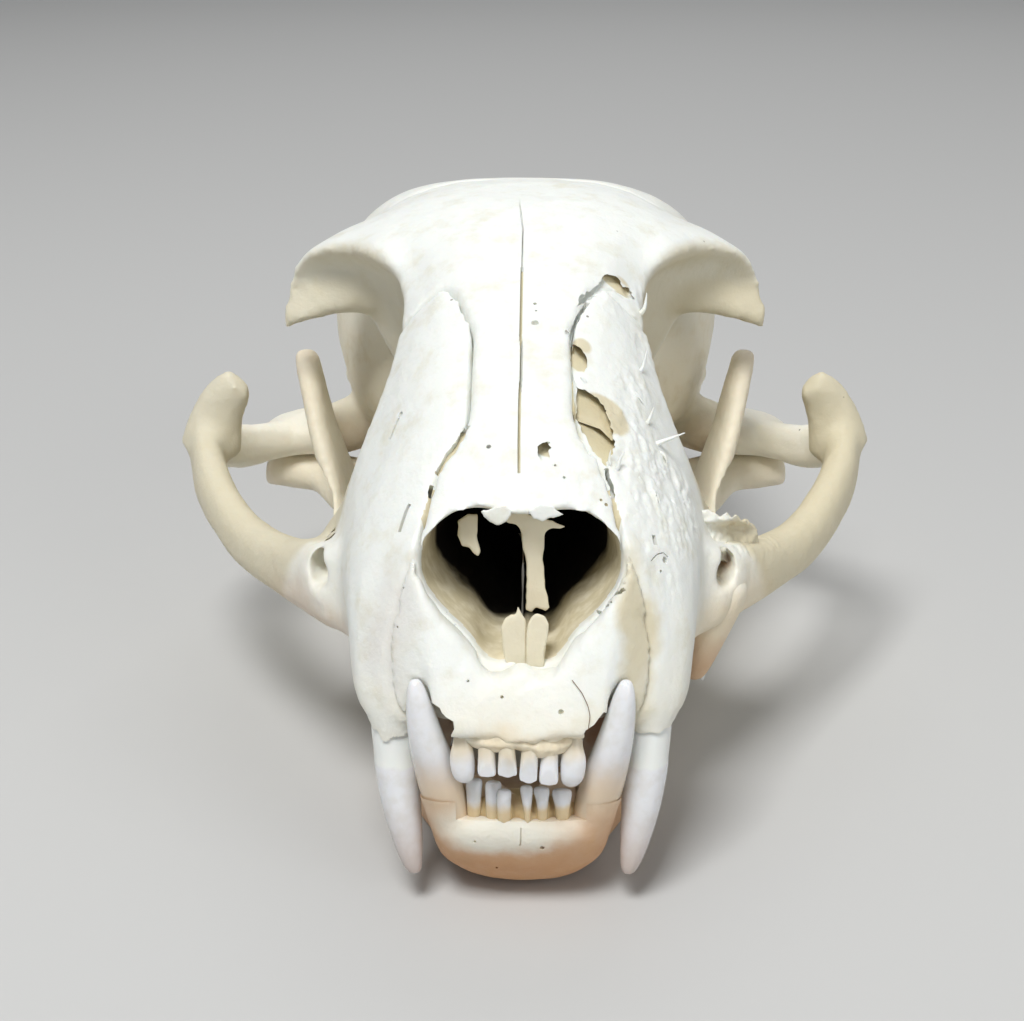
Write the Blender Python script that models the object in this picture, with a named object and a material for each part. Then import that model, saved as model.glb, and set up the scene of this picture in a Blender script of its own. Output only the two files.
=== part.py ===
"""A domestic cat's skull with its jaw, life size, lying on the lower jaw as it would rest.

Every shape is laid out in millimetres: x to the viewer's right, y back from the upper incisors and z
up from their sockets. The roof of the mouth climbs by REST_TILT to the back in these axes, and is level
once lay_down has turned the skull, set it on the floor and made it metres.
The viewer's left is the animal's right, and names with left and right are the animal's.
"""
import math
import random

import bmesh
import bpy
import numpy as np
from mathutils import Matrix, Vector

# Driving sizes in millimetres
MM = 0.001
GAP = 0.3
VOXEL = 0.62
REST_TILT = math.radians(8.1)
REST_LIFT = 16.6
REST_CENTRE = 47.5
LEAN = 0.35
RING = 40
PALATE = 1.4
SEED = 7

# Outline of the vault at the midline, as distance back and height
TOP_BACK = (6, 10, 15, 20, 25, 30, 36, 42, 48, 54, 58, 64, 70, 76, 82, 86, 89.5)
TOP_HIGH = (17, 20.5, 24.5, 28.3, 31.5, 34, 36.5, 38.2, 39.2, 39.5, 39.4, 38.8, 37.5, 35.5, 32.5, 30, 27)

# Muzzle and brow, one row a section: start at the palate, then the half widths of the gum, the
# cheek, the side, the brow and the flat of the nose, with the heights of the middle three
MUZZLE = (
    (0.0, 5.4, 6.6, 5, 7.9, 11, 7.0, 14.8, 4.2),
    (2.5, 7.0, 10.6, 5, 10.6, 11, 7.8, 16.6, 4.4),
    (4.5, 11.7, 13.2, 4.5, 12.6, 11, 9.4, 17.2, 4.6),
    (7.0, 12.7, 13.8, 4.5, 13.9, 11, 11.0, 17.5, 4.8),
    (10.5, 11.8, 14.0, 5, 14.8, 11, 11.9, 18.6, 5.0),
    (14.0, 12.6, 15.2, 5, 15.2, 12, 12.4, 20.5, 5.4),
    (18.0, 14.4, 16.8, 5, 16.0, 12, 11.9, 25.0, 6.0),
    (22.0, 16.6, 18.6, 5, 16.4, 13, 11.6, 29.5, 7.0),
    (26.0, 17.6, 18.8, 5, 15.6, 14, 13.2, 33.2, 8.0),
    (30.0, 16.4, 16.0, 5, 14.0, 15, 16.0, 34.0, 8.5),
    (33.0, 10.4, 10.6, 5, 12.6, 16, 17.0, 34.0, 8.8),
    (38.0, 8.0, 9.0, 5, 11.5, 17, 16.6, 34.5, 9.0),
    (43.0, 7.0, 8.6, 6, 11.0, 18, 16.0, 35.0, 9.0),
)

# Braincase, one row a section: distance back, half width, underside, squareness of the section
BRAINCASE = (
    (46.0, 9.0, 11.0, 2.6),
    (50.0, 11.6, 9.6, 2.9),
    (54.0, 15.6, 9.0, 3.1),
    (58.0, 18.3, 9.2, 3.2),
    (62.0, 19.8, 9.6, 3.0),
    (66.0, 20.7, 10.4, 2.7),
    (70.0, 21.2, 11.4, 2.5),
    (76.0, 20.6, 12.6, 2.4),
    (81.0, 18.2, 14.2, 2.3),
    (85.5, 14.6, 16.0, 2.3),
    (88.5, 10.4, 18.2, 2.3),
)

# Visor over the eye, one row a section: rim, back of the top and lower edge
VISOR = (
    ((8.5, 34.0, 30.5), (8.5, 46.0, 35.5), (8.5, 47.0, 26.5)),
    ((12.6, 36.0, 32.8), (12.4, 50.5, 35.6), (12.2, 48.5, 26.6)),
    ((16.7, 42.0, 33.6), (16.6, 52.0, 34.4), (16.6, 48.0, 26.9)),
    ((19.9, 45.0, 33.2), (19.4, 50.6, 33.3), (19.4, 48.4, 26.7)),
    ((22.3, 46.6, 32.2), (21.9, 49.8, 31.6), (21.8, 48.6, 26.0)),
    ((23.7, 47.5, 30.2), (23.4, 49.6, 29.6), (23.4, 48.8, 25.4)),
    ((24.3, 47.9, 26.6), (24.1, 49.4, 26.6), (24.2, 48.8, 24.8)),
)

# Cheek arch, one row a section: centre, height and thickness
ARCH = (
    (15.0, 18.0, 7.2, 8.0, 5.0),
    (17.8, 22.0, 6.8, 7.0, 4.6),
    (21.8, 28.0, 6.3, 5.2, 4.2),
    (25.8, 33.6, 6.7, 4.8, 3.6),
    (29.2, 39.2, 8.6, 5.2, 3.3),
    (31.4, 44.0, 10.8, 6.2, 3.2),
    (32.6, 48.5, 12.8, 7.0, 2.8),
    (32.4, 53.0, 12.4, 5.4, 2.6),
    (30.4, 56.8, 11.2, 4.8, 2.8),
    (27.2, 60.0, 11.2, 3.8, 3.4),
    (23.4, 62.4, 11.6, 4.4, 4.6),
    (19.0, 64.0, 12.4, 6.0, 6.0),
)
ARCH_SPUR = ((32.2, 48.2, 12.5), (31.3, 48.2, 16.0), (30.0, 47.6, 18.6), (28.6, 46.9, 20.0))
ARCH_SPUR_WIDTH = (6.4, 5.4, 4.4, 3.4)

# Chin, one row a section: distance back, half width, underside, upper edge and squareness
CHIN = (
    (2.4, 4.2, -9.4, -7.7, 2.2),
    (3.6, 6.4, -11.6, -7.0, 2.2),
    (5.6, 6.9, -14.0, -6.5, 2.2),
    (8.2, 6.9, -15.2, -6.3, 2.2),
    (12.0, 6.4, -15.0, -7.2, 2.2),
    (16.0, 5.2, -13.8, -8.6, 2.2),
)
# Jaw body, one row a section: centre across, distance back, underside, upper edge and thickness
JAW = (
    (4.4, 8.0, -13.4, -6.8, 4.6),
    (5.2, 12.0, -14.4, -6.4, 4.4),
    (7.2, 17.0, -14.4, -5.6, 4.4),
    (9.2, 23.0, -13.7, -4.7, 4.4),
    (11.0, 30.0, -12.7, -3.6, 4.4),
    (12.8, 37.0, -11.3, -2.2, 4.0),
    (14.7, 43.5, -9.9, -0.6, 3.4),
    (16.2, 49.0, -8.7, 0.0, 3.0),
    (17.6, 54.0, -8.2, -2.6, 2.8),
    (18.8, 60.0, -8.6, -5.2, 2.6),
)
# Blade of the jaw, one row a level: height, front and back edge, centre across and thickness
BLADE = (
    (-8.4, 47.0, 56.5, 17.0, 2.6),
    (-4.5, 41.8, 58.0, 17.2, 2.6),
    (0.0, 41.6, 58.6, 17.6, 2.4),
    (4.0, 43.4, 60.2, 18.4, 2.4),
    (7.6, 45.0, 60.4, 19.3, 2.3),
    (11.0, 47.0, 58.6, 20.2, 2.2),
    (15.0, 49.2, 58.0, 21.4, 2.1),
    (19.5, 51.8, 57.4, 22.5, 2.2),
    (21.9, 54.0, 56.6, 23.0, 2.2),
)
CONDYLE_BACK, CONDYLE_HIGH = 62.0, 7.3
CONDYLE_INNER, CONDYLE_OUTER, CONDYLE_THICK = 17.0, 28.6, 4.2

# Teeth: canines as the line of their middle and their widths
UPPER_CANINE = ((10.4, 7.4, 5.0), (10.2, 6.2, 0.0), (9.95, 5.7, -5.0), (9.4, 5.3, -9.5), (8.7, 4.8, -13.3))
UPPER_CANINE_WIDE = (4.0, 4.1, 3.5, 2.7, 1.0)
LOWER_CANINE = ((5.2, 6.0, -11.0), (5.9, 4.6, -7.5), (6.7, 3.5, -4.0), (7.6, 2.5, 0.0), (8.2, 2.0, 4.5))
LOWER_CANINE_WIDE = (3.4, 3.6, 3.4, 2.8, 0.7)
# Incisors from the middle out: place across, width and length
UPPER_INCISORS = ((0.95, 1.35, 3.3), (2.4, 1.45, 3.4), (4.35, 2.0, 4.2))
LOWER_INCISORS = ((0.85, 1.1, 3.3), (1.95, 1.2, 3.4), (3.4, 1.5, 3.6))
# Cheek teeth: middle of the root line, length along the row, width and the heights of the cusps
UPPER_CHEEK = (
    ((11.4, 10.8, 1.0), 1.8, 1.4, (1.4,)),
    ((12.2, 15.8, 1.8), 6.2, 2.6, (2.2, 4.4, 2.4)),
    ((16.3, 24.0, 3.0), 10.2, 3.6, (3.2, 6.4, 4.2)),
    ((15.0, 30.8, 4.2), 1.8, 2.8, (1.2,)),
)
LOWER_CHEEK = (
    ((7.4, 16.8, -5.8), 5.4, 2.4, (1.8, 3.8, 2.0)),
    ((9.4, 23.6, -4.8), 6.8, 2.6, (2.4, 5.0, 2.8)),
    ((11.2, 31.4, -3.8), 8.0, 2.6, (5.0, 5.6)),
)
# The viewer's left side has lost its largest cheek tooth
LOST_CHEEK_TOOTH = 2

# Colour and roughness of the bones, bleached on top and stained towards the chin
FINISHES = {
    "braincase": ((0.84, 0.80, 0.69), 0.55),
    "frontal": ((0.90, 0.90, 0.86), 0.55),
    "nasal": ((0.91, 0.92, 0.88), 0.55),
    "nasal_septum": ((0.70, 0.60, 0.42), 0.60),
    "maxilla": ((0.88, 0.88, 0.82), 0.55),
    "premaxilla": ((0.87, 0.85, 0.77), 0.55),
    "zygomatic_arch": ((0.84, 0.79, 0.66), 0.50),
    "auditory_bulla": ((0.82, 0.77, 0.65), 0.45),
    "mandible": ((0.72, 0.58, 0.40), 0.55),
}


def spline(keys, values, at):
    """Smooth values at the places, through the values at the keys."""
    keys = np.asarray(keys, float)
    values = np.asarray(values, float).reshape(len(keys), -1)
    at = np.atleast_1d(np.asarray(at, float))
    slope = np.gradient(values, keys, axis=0)
    i = np.clip(np.searchsorted(keys, at) - 1, 0, len(keys) - 2)
    step = (keys[i + 1] - keys[i])[:, None]
    t = (at - keys[i])[:, None] / step
    ends = (2 * t**3 - 3 * t**2 + 1) * values[i] + (3 * t**2 - 2 * t**3) * values[i + 1]
    turns = (t**3 - 2 * t**2 + t) * slope[i] + (t**3 - t**2) * slope[i + 1]
    return ends + step * turns


def smooth_rows(rows, count):
    """The rows, resampled evenly along a smooth curve through them."""
    rows = np.asarray(rows, float)
    return spline(range(len(rows)), rows, np.linspace(0, len(rows) - 1, count))


def smooth_ring(points, count):
    """A closed smooth ring through the points."""
    points = np.asarray(points, float)
    around = np.concatenate([points[-3:], points, points[:4]])
    length = np.concatenate([[0], np.cumsum(np.linalg.norm(np.diff(around, axis=0), axis=1))])
    start, end = length[3], length[3 + len(points)]
    return spline(length, around, np.linspace(start, end, count, endpoint=False))


def vault_high(back):
    return float(spline(TOP_BACK, TOP_HIGH, [back])[0, 0])


def mouth_high(back):
    """Height of a line that leaves the incisors and is level once the skull lies at rest."""
    return math.tan(REST_TILT) * back


def squared_ring(power, count=RING):
    """A ring between a circle and a square, one unit each way from its middle."""
    turn = np.linspace(0, 2 * math.pi, count, endpoint=False)
    wide, high = np.cos(turn), np.sin(turn)
    shape = 2 / power
    return np.stack([np.sign(wide) * abs(wide) ** shape, np.sign(high) * abs(high) ** shape], 1)


def made(name, mesh):
    thing = bpy.data.objects.new(name, mesh)
    bpy.context.scene.collection.objects.link(thing)
    return thing


def from_bmesh(name, shape):
    bmesh.ops.recalc_face_normals(shape, faces=shape.faces)
    mesh = bpy.data.meshes.new(name)
    shape.to_mesh(mesh)
    shape.free()
    return made(name, mesh)


def loft(name, rings):
    """A closed skin over the rings, with both ends capped."""
    shape = bmesh.new()
    rows = [[shape.verts.new(point) for point in ring] for ring in rings]
    count = len(rows[0])
    for row, after in zip(rows, rows[1:]):
        for i in range(count):
            j = (i + 1) % count
            shape.faces.new((row[i], row[j], after[j], after[i]))
    shape.faces.new(rows[0])
    shape.faces.new(rows[-1])
    return from_bmesh(name, shape)


def ellipsoid(name, centre, radii, rings=20):
    shape = bmesh.new()
    place = Matrix.Translation(centre) @ Matrix.Diagonal((*radii, 1))
    bmesh.ops.create_uvsphere(shape, u_segments=2 * rings, v_segments=rings, radius=1, matrix=place)
    return from_bmesh(name, shape)


def horn(name, points, widths, sides=12, flat=1.0, steps=4):
    """A bent round rod of changing width, flat times as thick from front to back as across."""
    count = steps * (len(points) - 1) + 1
    line = smooth_rows(points, count)
    wide = smooth_rows(np.reshape(widths, (-1, 1)), count)[:, 0]
    along = np.gradient(line, axis=0)
    rings = []
    for point, run, size in zip(line, along, wide):
        run = Vector(run).normalized()
        side = run.cross(Vector((0, 1, 0))).normalized()
        ahead = side.cross(run)
        turns = [2 * math.pi * k / sides for k in range(sides)]
        rings.append([
            Vector(point) + (math.cos(a) * side + flat * math.sin(a) * ahead) * (float(size) / 2) for a in turns
        ])
    return loft(name, rings)


def band(name, rows, power=2.6, sides=20):
    """An upright band along a level path. A row is its middle, height and thickness."""
    line = smooth_rows(rows, 4 * len(rows))
    along = np.gradient(line[:, :2], axis=0)
    across = np.stack([along[:, 1], -along[:, 0]], 1)
    across /= np.linalg.norm(across, axis=1)[:, None]
    outline = squared_ring(power, sides)
    rings = []
    for (x, y, z, high, thick), (nx, ny) in zip(line, across):
        rings.append([
            (x + nx * wide * thick / 2, y + ny * wide * thick / 2, z + up * high / 2)
            for wide, up in outline
        ])
    return loft(name, rings)


def mirrored(thing):
    """The same shape on the other side of the skull."""
    return flipped(made(thing.name + "_mirror", thing.data.copy()))


def remove(things):
    for thing in things:
        bpy.data.objects.remove(thing)


def applied(thing):
    """The object with its modifiers made part of its mesh."""
    bpy.context.view_layer.update()
    graph = bpy.context.evaluated_depsgraph_get()
    mesh = bpy.data.meshes.new_from_object(thing.evaluated_get(graph))
    thing.modifiers.clear()
    thing.data = mesh
    return thing


def keep_largest(thing):
    """Drops every loose piece but the largest, and fills any sealed hollow."""
    shape = bmesh.new()
    shape.from_mesh(thing.data)
    left = set(shape.verts)
    groups = []
    while left:
        seed = left.pop()
        group, front = {seed}, [seed]
        while front:
            for edge in front.pop().link_edges:
                for vert in edge.verts:
                    if vert in left:
                        left.discard(vert)
                        group.add(vert)
                        front.append(vert)
        groups.append(group)
    largest = max(groups, key=len)
    bmesh.ops.delete(shape, geom=[v for v in shape.verts if v not in largest], context="VERTS")
    shape.to_mesh(thing.data)
    shape.free()
    return thing


def boolean(thing, others, operation):
    """Joins, cuts or intersects with all the others at once, and removes them."""
    helpers = bpy.data.collections.new("helpers")
    for other in others:
        helpers.objects.link(other)
    modifier = thing.modifiers.new("boolean", "BOOLEAN")
    modifier.operation = operation
    modifier.operand_type = "COLLECTION"
    modifier.collection = helpers
    modifier.solver = "EXACT"
    applied(thing)
    remove(list(others))
    bpy.data.collections.remove(helpers)
    return keep_largest(thing)


def fused(name, things, voxel=VOXEL, smooth=2):
    """The shapes grown together into one skin, as living bone is."""
    shape = bmesh.new()
    for thing in things:
        shape.from_mesh(thing.data)
    mesh = bpy.data.meshes.new(name)
    shape.to_mesh(mesh)
    shape.free()
    remove(list(things))
    whole = made(name, mesh)
    remesh = whole.modifiers.new("remesh", "REMESH")
    remesh.mode = "VOXEL"
    remesh.voxel_size = voxel
    soften = whole.modifiers.new("soften", "SMOOTH")
    soften.iterations = smooth
    return keep_largest(applied(whole))


def thinned(thing, triangles):
    """Fewer triangles, fewest where the bone is smooth."""
    thing.data.calc_loop_triangles()
    thin = thing.modifiers.new("thin", "DECIMATE")
    thin.ratio = min(1.0, triangles / len(thing.data.loop_triangles))
    thin.use_collapse_triangulate = True
    return keep_largest(applied(thing))


def muzzle():
    """Nose, cheeks, palate and brow as leaning sections, before the eye sockets are cut."""
    keys = np.linspace(0, MUZZLE[-1][0], 30)
    table = np.asarray(MUZZLE, float)
    rings = []
    for start, row in zip(keys, spline(table[:, 0], table[:, 1:], keys)):
        gum, cheek, cheek_high, side, side_high, brow, brow_high, flat = row
        top = TOP_HIGH[0]
        for _ in range(12):
            top = vault_high(start + LEAN * top)
        edge = max(0.0, mouth_high(start) - 0.6)
        roof = edge + PALATE * min(1.0, start / 5)
        half = [
            (0, top), (flat * 0.55, top - 0.15), (flat, top - 0.9), (brow, brow_high), (side, side_high),
            (cheek, cheek_high + edge / 3), (gum, edge), (gum - 2.2, edge + 0.2), (gum * 0.6 - 1.2, roof),
        ]
        outline = half + [(0, roof)] + [(-x, z) for x, z in reversed(half[1:])]
        ring = smooth_ring(outline, RING)
        rings.append([(x, start + LEAN * z, z) for x, z in ring])
    return boolean(loft("muzzle", rings), eye_sockets(), "DIFFERENCE")


def eggs(name, rows, count=26):
    """Squared ovals across the midline. A row is distance back, half width, underside, top, squareness."""
    rings = []
    for back, wide, low, high, power in smooth_rows(rows, count):
        middle, half = (low + high) / 2, (high - low) / 2
        rings.append([(x * wide, back, middle + z * half) for x, z in squared_ring(power)])
    return loft(name, rings)


def braincase():
    rows = [(back, wide, low, vault_high(back), power) for back, wide, low, power in BRAINCASE]
    return eggs("braincase", rows)


def visor():
    """Plate over the back of the eye socket, hollow towards the front."""
    table = smooth_rows(np.asarray(VISOR, float).reshape(len(VISOR), 9), 22)
    rings = []
    for row in table:
        rim, back, low = row[:3], row[3:6], row[6:]
        hollow = (rim + low) / 2 + (0, 1.2, 1.2)
        outline = [rim, hollow, low - (0, 0.8, 0), low + (0, 0.9, 0.2), (back + low) / 2 + (0, 0.4, 0), back]
        rings.append(smooth_ring(outline, 24))
    return loft("visor", rings)


def flipped(thing):
    thing.data.transform(Matrix.Scale(-1, 4, (1, 0, 0)))
    thing.data.flip_normals()
    return thing


def sides_of(thing):
    return [thing, mirrored(thing)]


def crest():
    """Ridge round the back of the skull, from ear to ear."""
    line = ((19.8, 78.5, 14.5), (18.0, 82.0, 19.5), (13.4, 85.8, 24.4), (7.4, 88.6, 27.6), (0.0, 90.0, 29.0))
    whole = [*line, *[(-x, y, z) for x, y, z in reversed(line[:-1])]]
    widths = (4.0, 3.4, 2.8, 2.6, 3.0, 2.6, 2.8, 3.4, 4.0)
    return horn("crest", whole, widths, flat=1.3)


def keel():
    """Low ridge along the back of the vault."""
    backs = np.linspace(70, 89, 8)
    points = [(0, back, vault_high(back) - 0.6) for back in backs]
    widths = np.linspace(1.6, 3.4, 8)
    return horn("keel", points, widths)


def wings():
    """Thin plates below the braincase, on both sides of the throat."""
    rows = (
        (6.6, 34.0, 9.4, 6.4, 2.0), (6.0, 40.0, 10.0, 7.0, 1.8), (5.8, 46.0, 10.6, 7.0, 1.7),
        (6.4, 52.0, 11.4, 5.0, 1.7),
    )
    return sides_of(band("wing", rows))


def cranium():
    """Everything of the upper skull but the teeth, in one piece."""
    arch = band("arch", ARCH)
    spur = horn("spur", ARCH_SPUR, ARCH_SPUR_WIDTH, flat=0.6)
    joint_roof = ellipsoid("joint_roof", (22.6, 63.4, 11.4), (6.4, 4.6, 2.6))
    mastoid = ellipsoid("mastoid", (17.6, 77.5, 14.6), (3.0, 4.6, 4.6))
    condyle = ellipsoid("occipital_condyle", (5.8, 87.0, 16.4), (3.2, 3.2, 4.2))
    pieces = [muzzle(), braincase(), crest(), keel(), *wings()]
    for piece in (arch, spur, visor(), joint_roof, mastoid, condyle):
        pieces += sides_of(piece)
    return fused("cranium", pieces)


def eye_sockets():
    """The room of an eye: a deep egg whose floor lies over the cheek teeth."""
    socket = ellipsoid("socket", (24.0, 36.0, 19.0), (16.6, 16.3, 19.0), rings=28)
    for vert in socket.data.vertices:
        depth = 19.0 - vert.co.z
        if depth > 0:
            vert.co.z = 19.0 - depth * 10.8 / 19.0
    return sides_of(socket)


def nose_room():
    """Hollow of the nose behind its opening, which narrows to a notch on each side of the midline."""
    rows = (
        (-6.0, 8.0, 4.2, 18.0), (3.0, 8.0, 4.4, 17.4), (9.0, 8.0, 5.0, 16.6), (18.0, 7.0, 5.6, 16.6),
        (27.0, 5.8, 7.2, 15.6), (36.0, 3.8, 9.4, 14.4),
    )
    rings = []
    for back, wide, low, high in smooth_rows(rows, 24):
        rise = high - low
        half = [
            (0, high - 0.3), (wide * 0.6, high), (wide * 0.96, low + 0.80 * rise), (wide, low + 0.58 * rise),
            (wide * 0.82, low + 0.38 * rise), (wide * 0.55, low + 0.22 * rise), (wide * 0.25, low),
        ]
        outline = half + [(0, low + 0.07 * rise)] + [(-x, z) for x, z in reversed(half[1:])]
        rings.append([(x, back, z) for x, z in smooth_ring(outline, 28)])
    return loft("nose_room", rings)


def rod(name, start, end, wide, high, sides=16):
    """A straight oval rod, used as a drill."""
    start, end = Vector(start), Vector(end)
    run = (end - start).normalized()
    side = run.cross(Vector((0, 0, 1))).normalized()
    up = side.cross(run)
    rings = []
    for centre in (start, end):
        turns = [2 * math.pi * k / sides for k in range(sides)]
        rings.append([centre + math.cos(a) * side * wide / 2 + math.sin(a) * up * high / 2 for a in turns])
    return loft(name, rings)


def drills():
    """Canals and joint hollows."""
    canal = rod("canal", (19.0, 12.0, 7.4), (14.4, 31.0, 10.8), 2.4, 3.2)
    joint = horn("joint", ((14.0, 62.0, 7.0), (22.0, 62.2, 7.3), (31.0, 62.0, 7.4)), (5.2, 5.2, 5.2))
    brain_door = rod("brain_door", (0, 80.0, 21.0), (0, 96.0, 18.5), 12.0, 9.4)
    throat = rod("throat", (0, 37.0, 8.6), (0, 60.0, 9.4), 8.6, 7.0)
    notch = horn("notch", LOWER_CANINE, [wide + 1.0 for wide in LOWER_CANINE_WIDE])
    found = [nose_room(), brain_door, throat, ear_drill(1), ear_drill(-1)]
    for drill in (canal, joint, notch):
        found += sides_of(drill)
    return found


def jaw_half():
    """The animal's left half of the lower jaw, without teeth."""
    rows = [(x, y, (low + high) / 2, high - low, thick) for x, y, low, high, thick in JAW]
    body = band("jaw_body", rows, power=2.8)
    outline = squared_ring(3.0, 24)
    rings = []
    for z, front, back, x, thick in smooth_rows(BLADE, 26):
        middle, half = (front + back) / 2, (back - front) / 2
        rings.append([(x + a * thick / 2, middle + b * half, z) for a, b in outline])
    blade = loft("jaw_blade", rings)
    back, high = CONDYLE_BACK, CONDYLE_HIGH
    middle = (CONDYLE_INNER + CONDYLE_OUTER) / 2
    line = ((CONDYLE_INNER, back, high - 0.3), (middle, back + 0.2, high), (CONDYLE_OUTER, back, high + 0.1))
    condyle = horn("jaw_condyle", line, (3.0, CONDYLE_THICK, 3.0))
    neck = horn("jaw_neck", ((18.6, 56.0, 4.6), (20.4, 59.5, 6.2), (22.4, 62.0, 7.0)), (3.6, 4.2, 3.4))
    chin = eggs("chin", CHIN, 16)
    jaw = fused("jaw", [body, blade, condyle, neck, chin], VOXEL * 0.9)
    pit = ellipsoid("muscle_pit", (22.0, 50.0, 3.0), (4.4, 7.6, 8.6))
    midline = box("midline", (-20, -10, -40), (GAP / 2, 60, 20))
    return thinned(boolean(jaw, [pit, midline], "DIFFERENCE"), 1000)


def box(name, low, high):
    shape = bmesh.new()
    low, high = Vector(low), Vector(high)
    place = Matrix.Translation((low + high) / 2) @ Matrix.Diagonal((*(high - low), 1))
    bmesh.ops.create_cube(shape, size=1, matrix=place)
    return from_bmesh(name, shape)


def incisor(name, x, y, z, wide, length, down, chance):
    """A small chisel on a thinner root. down is -1 for the upper jaw and 1 for the lower."""
    lean = chance.uniform(-0.12, 0.12)
    steps = ((-2.0, 0.75), (0.0, 0.9), (0.4 * length, 1.05), (0.75 * length, 1.3), (length, 0.9))
    points = [(x + lean * s, y + 0.45 * max(0.0, -s) + 0.1 * s, z + down * s) for s, _ in steps]
    return horn(name, points, [wide * part for _, part in steps], sides=6, flat=1.15, steps=1)


def cheek_tooth(name, centre, length, wide, cusps, down, turn):
    """A crown with a row of pointed cusps, sunk into the gum, turned to lie along the row."""
    x, y, z = centre
    pieces = [ellipsoid(name, (0, 0, 0), (wide / 2, length / 2, 1.9), rings=4)]
    for number, high in enumerate(cusps):
        place = length * ((number + 0.5) / len(cusps) - 0.5)
        thick = length / len(cusps) * 1.15
        points = ((0, place, -down * 1.2), (0, place, down * high * 0.35), (0, place * 0.94, down * high))
        cusp = horn(name, points, (thick, thick * 0.75, 0.5), sides=6, steps=1)
        for vert in cusp.data.vertices:
            vert.co.x *= min(1.0, wide / thick)
        pieces.append(cusp)
    lay = Matrix.Translation((x, y, z)) @ Matrix.Rotation(turn, 4, "Z")
    for piece in pieces:
        piece.data.transform(lay)
    return pieces


def upper_side_teeth(lost=None):
    pieces = [horn("upper_canine", UPPER_CANINE, UPPER_CANINE_WIDE, sides=10, flat=1.15, steps=2)]
    for number, (centre, length, wide, cusps) in enumerate(UPPER_CHEEK):
        if number == lost:
            continue
        pieces += cheek_tooth(f"upper_cheek_{number}", centre, length, wide, cusps, -1, math.radians(-18))
    return pieces


def lower_side_teeth(chance):
    pieces = [horn("lower_canine", LOWER_CANINE, LOWER_CANINE_WIDE, sides=10, steps=2)]
    for number, (centre, length, wide, cusps) in enumerate(LOWER_CHEEK):
        pieces += cheek_tooth(f"lower_cheek_{number}", centre, length, wide, cusps, 1, math.radians(-18))
    for x, wide, length in LOWER_INCISORS:
        pieces.append(incisor("lower_incisor", x, 3.2 + 0.04 * x * x, -7.9, wide, length, 1, chance))
    return pieces


def upper_incisors(chance):
    pieces = []
    for side in (-1, 1):
        for x, wide, length in UPPER_INCISORS:
            y = 0.9 + 0.07 * x * x
            pieces.append(incisor("upper_incisor", side * x, y, 0.4, wide, length, -1, chance))
    return pieces


def behind(name, start, slope, grow):
    """Room behind a leaning plane that crosses the palate at start."""
    low, high, far = -20.0, 60.0, 120.0
    side = ((start + slope * low - grow, low), (far, low), (far, high), (start + slope * high - grow, high))
    return loft(name, [[(x, y, z) for y, z in side] for x in (-60.0, 60.0)])


def arch_room(grow):
    """Room that holds the cheek arch on the viewer's right, clear of the brow and the braincase."""
    front, back, far = 19.6 - grow, 22.6 - grow, 48.0
    plan = ((front, 18.0), (far, 18.0), (far, 72.0), (back, 72.0), (back, 56.0), (front, 50.0))
    return loft("arch_room", [[(x, y, z) for x, y in plan] for z in (-8.0, 23.2 + grow)])


def midline_room(name, rows, grow):
    """Room over the midline of the nose. A row is distance back, half width and depth."""
    rings = []
    for back, wide, deep in smooth_rows(rows, 3 * len(rows)):
        top = vault_high(max(back, TOP_BACK[0]))
        wide += grow
        low = top - deep - grow
        rings.append([(-wide, back, low), (wide, back, low), (wide, back, top + 6), (-wide, back, top + 6)])
    last = [(x, y + grow, z) for x, y, z in rings[-1]]
    return loft(name, [*rings, last])


def nasal_room(grow):
    """Room that holds both nasal bones, with their horns beside the opening of the nose."""
    rows = (
        (3.0, 8.4, 5.0), (6.0, 8.0, 4.8), (8.6, 7.2, 3.6), (10.6, 6.5, 2.8), (12.2, 4.8, 2.6),
        (13.6, 4.3, 2.6), (16.0, 4.1, 2.6), (22.0, 4.0, 2.6), (27.0, 3.4, 2.6), (31.0, 2.2, 2.6),
    )
    return midline_room("nasal_room", rows, grow)


def frontal_room(grow):
    """Room that holds the brow, with its prongs between the nasal bones and the cheeks."""
    rows = ((21.0, 3.8, 3.2), (23.7, 4.7, 3.2), (26.7, 5.7, 3.2), (28.6, 6.9, 3.2), (31.5, 9.4, 3.2))
    prongs = midline_room("prongs", rows, grow)
    return boolean(behind("middle", 33.4, -0.16, grow), [prongs], "UNION")


def split(thing, name, room):
    """Takes the part inside the room away as its own object, a gap from the rest."""
    inside = made(name, thing.data.copy())
    boolean(inside, [room(0.0)], "INTERSECT")
    boolean(thing, [room(GAP)], "DIFFERENCE")
    return inside


def halves(thing, left, right):
    """Parts a middle piece at the midline. The animal's left is the viewer's right."""
    other = made(right, thing.data.copy())
    boolean(thing, [box("side", (-60, -20, -60), (GAP / 2, 120, 60))], "DIFFERENCE")
    boolean(other, [box("side", (-GAP / 2, -20, -60), (60, 120, 60))], "DIFFERENCE")
    thing.name = left
    return thing, other


def material(name, colour, roughness):
    found = bpy.data.materials.new(name)
    found.use_nodes = True
    shader = found.node_tree.nodes["Principled BSDF"]
    shader.inputs["Base Color"].default_value = (*colour, 1)
    shader.inputs["Roughness"].default_value = roughness
    shader.inputs["Metallic"].default_value = 0.0
    return found


def bulla(side, grow):
    """Bubble of bone round the ear, or the room that it takes."""
    return ellipsoid("bulla", (side * 13.0, 73.0, 11.6), [r + grow for r in (6.2, 9.4, 6.8)], rings=10)


def ear_drill(side):
    return rod("ear", (side * 15.0, 71.0, 13.4), (side * 26.0, 69.0, 14.6), 5.0, 5.0)


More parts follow.
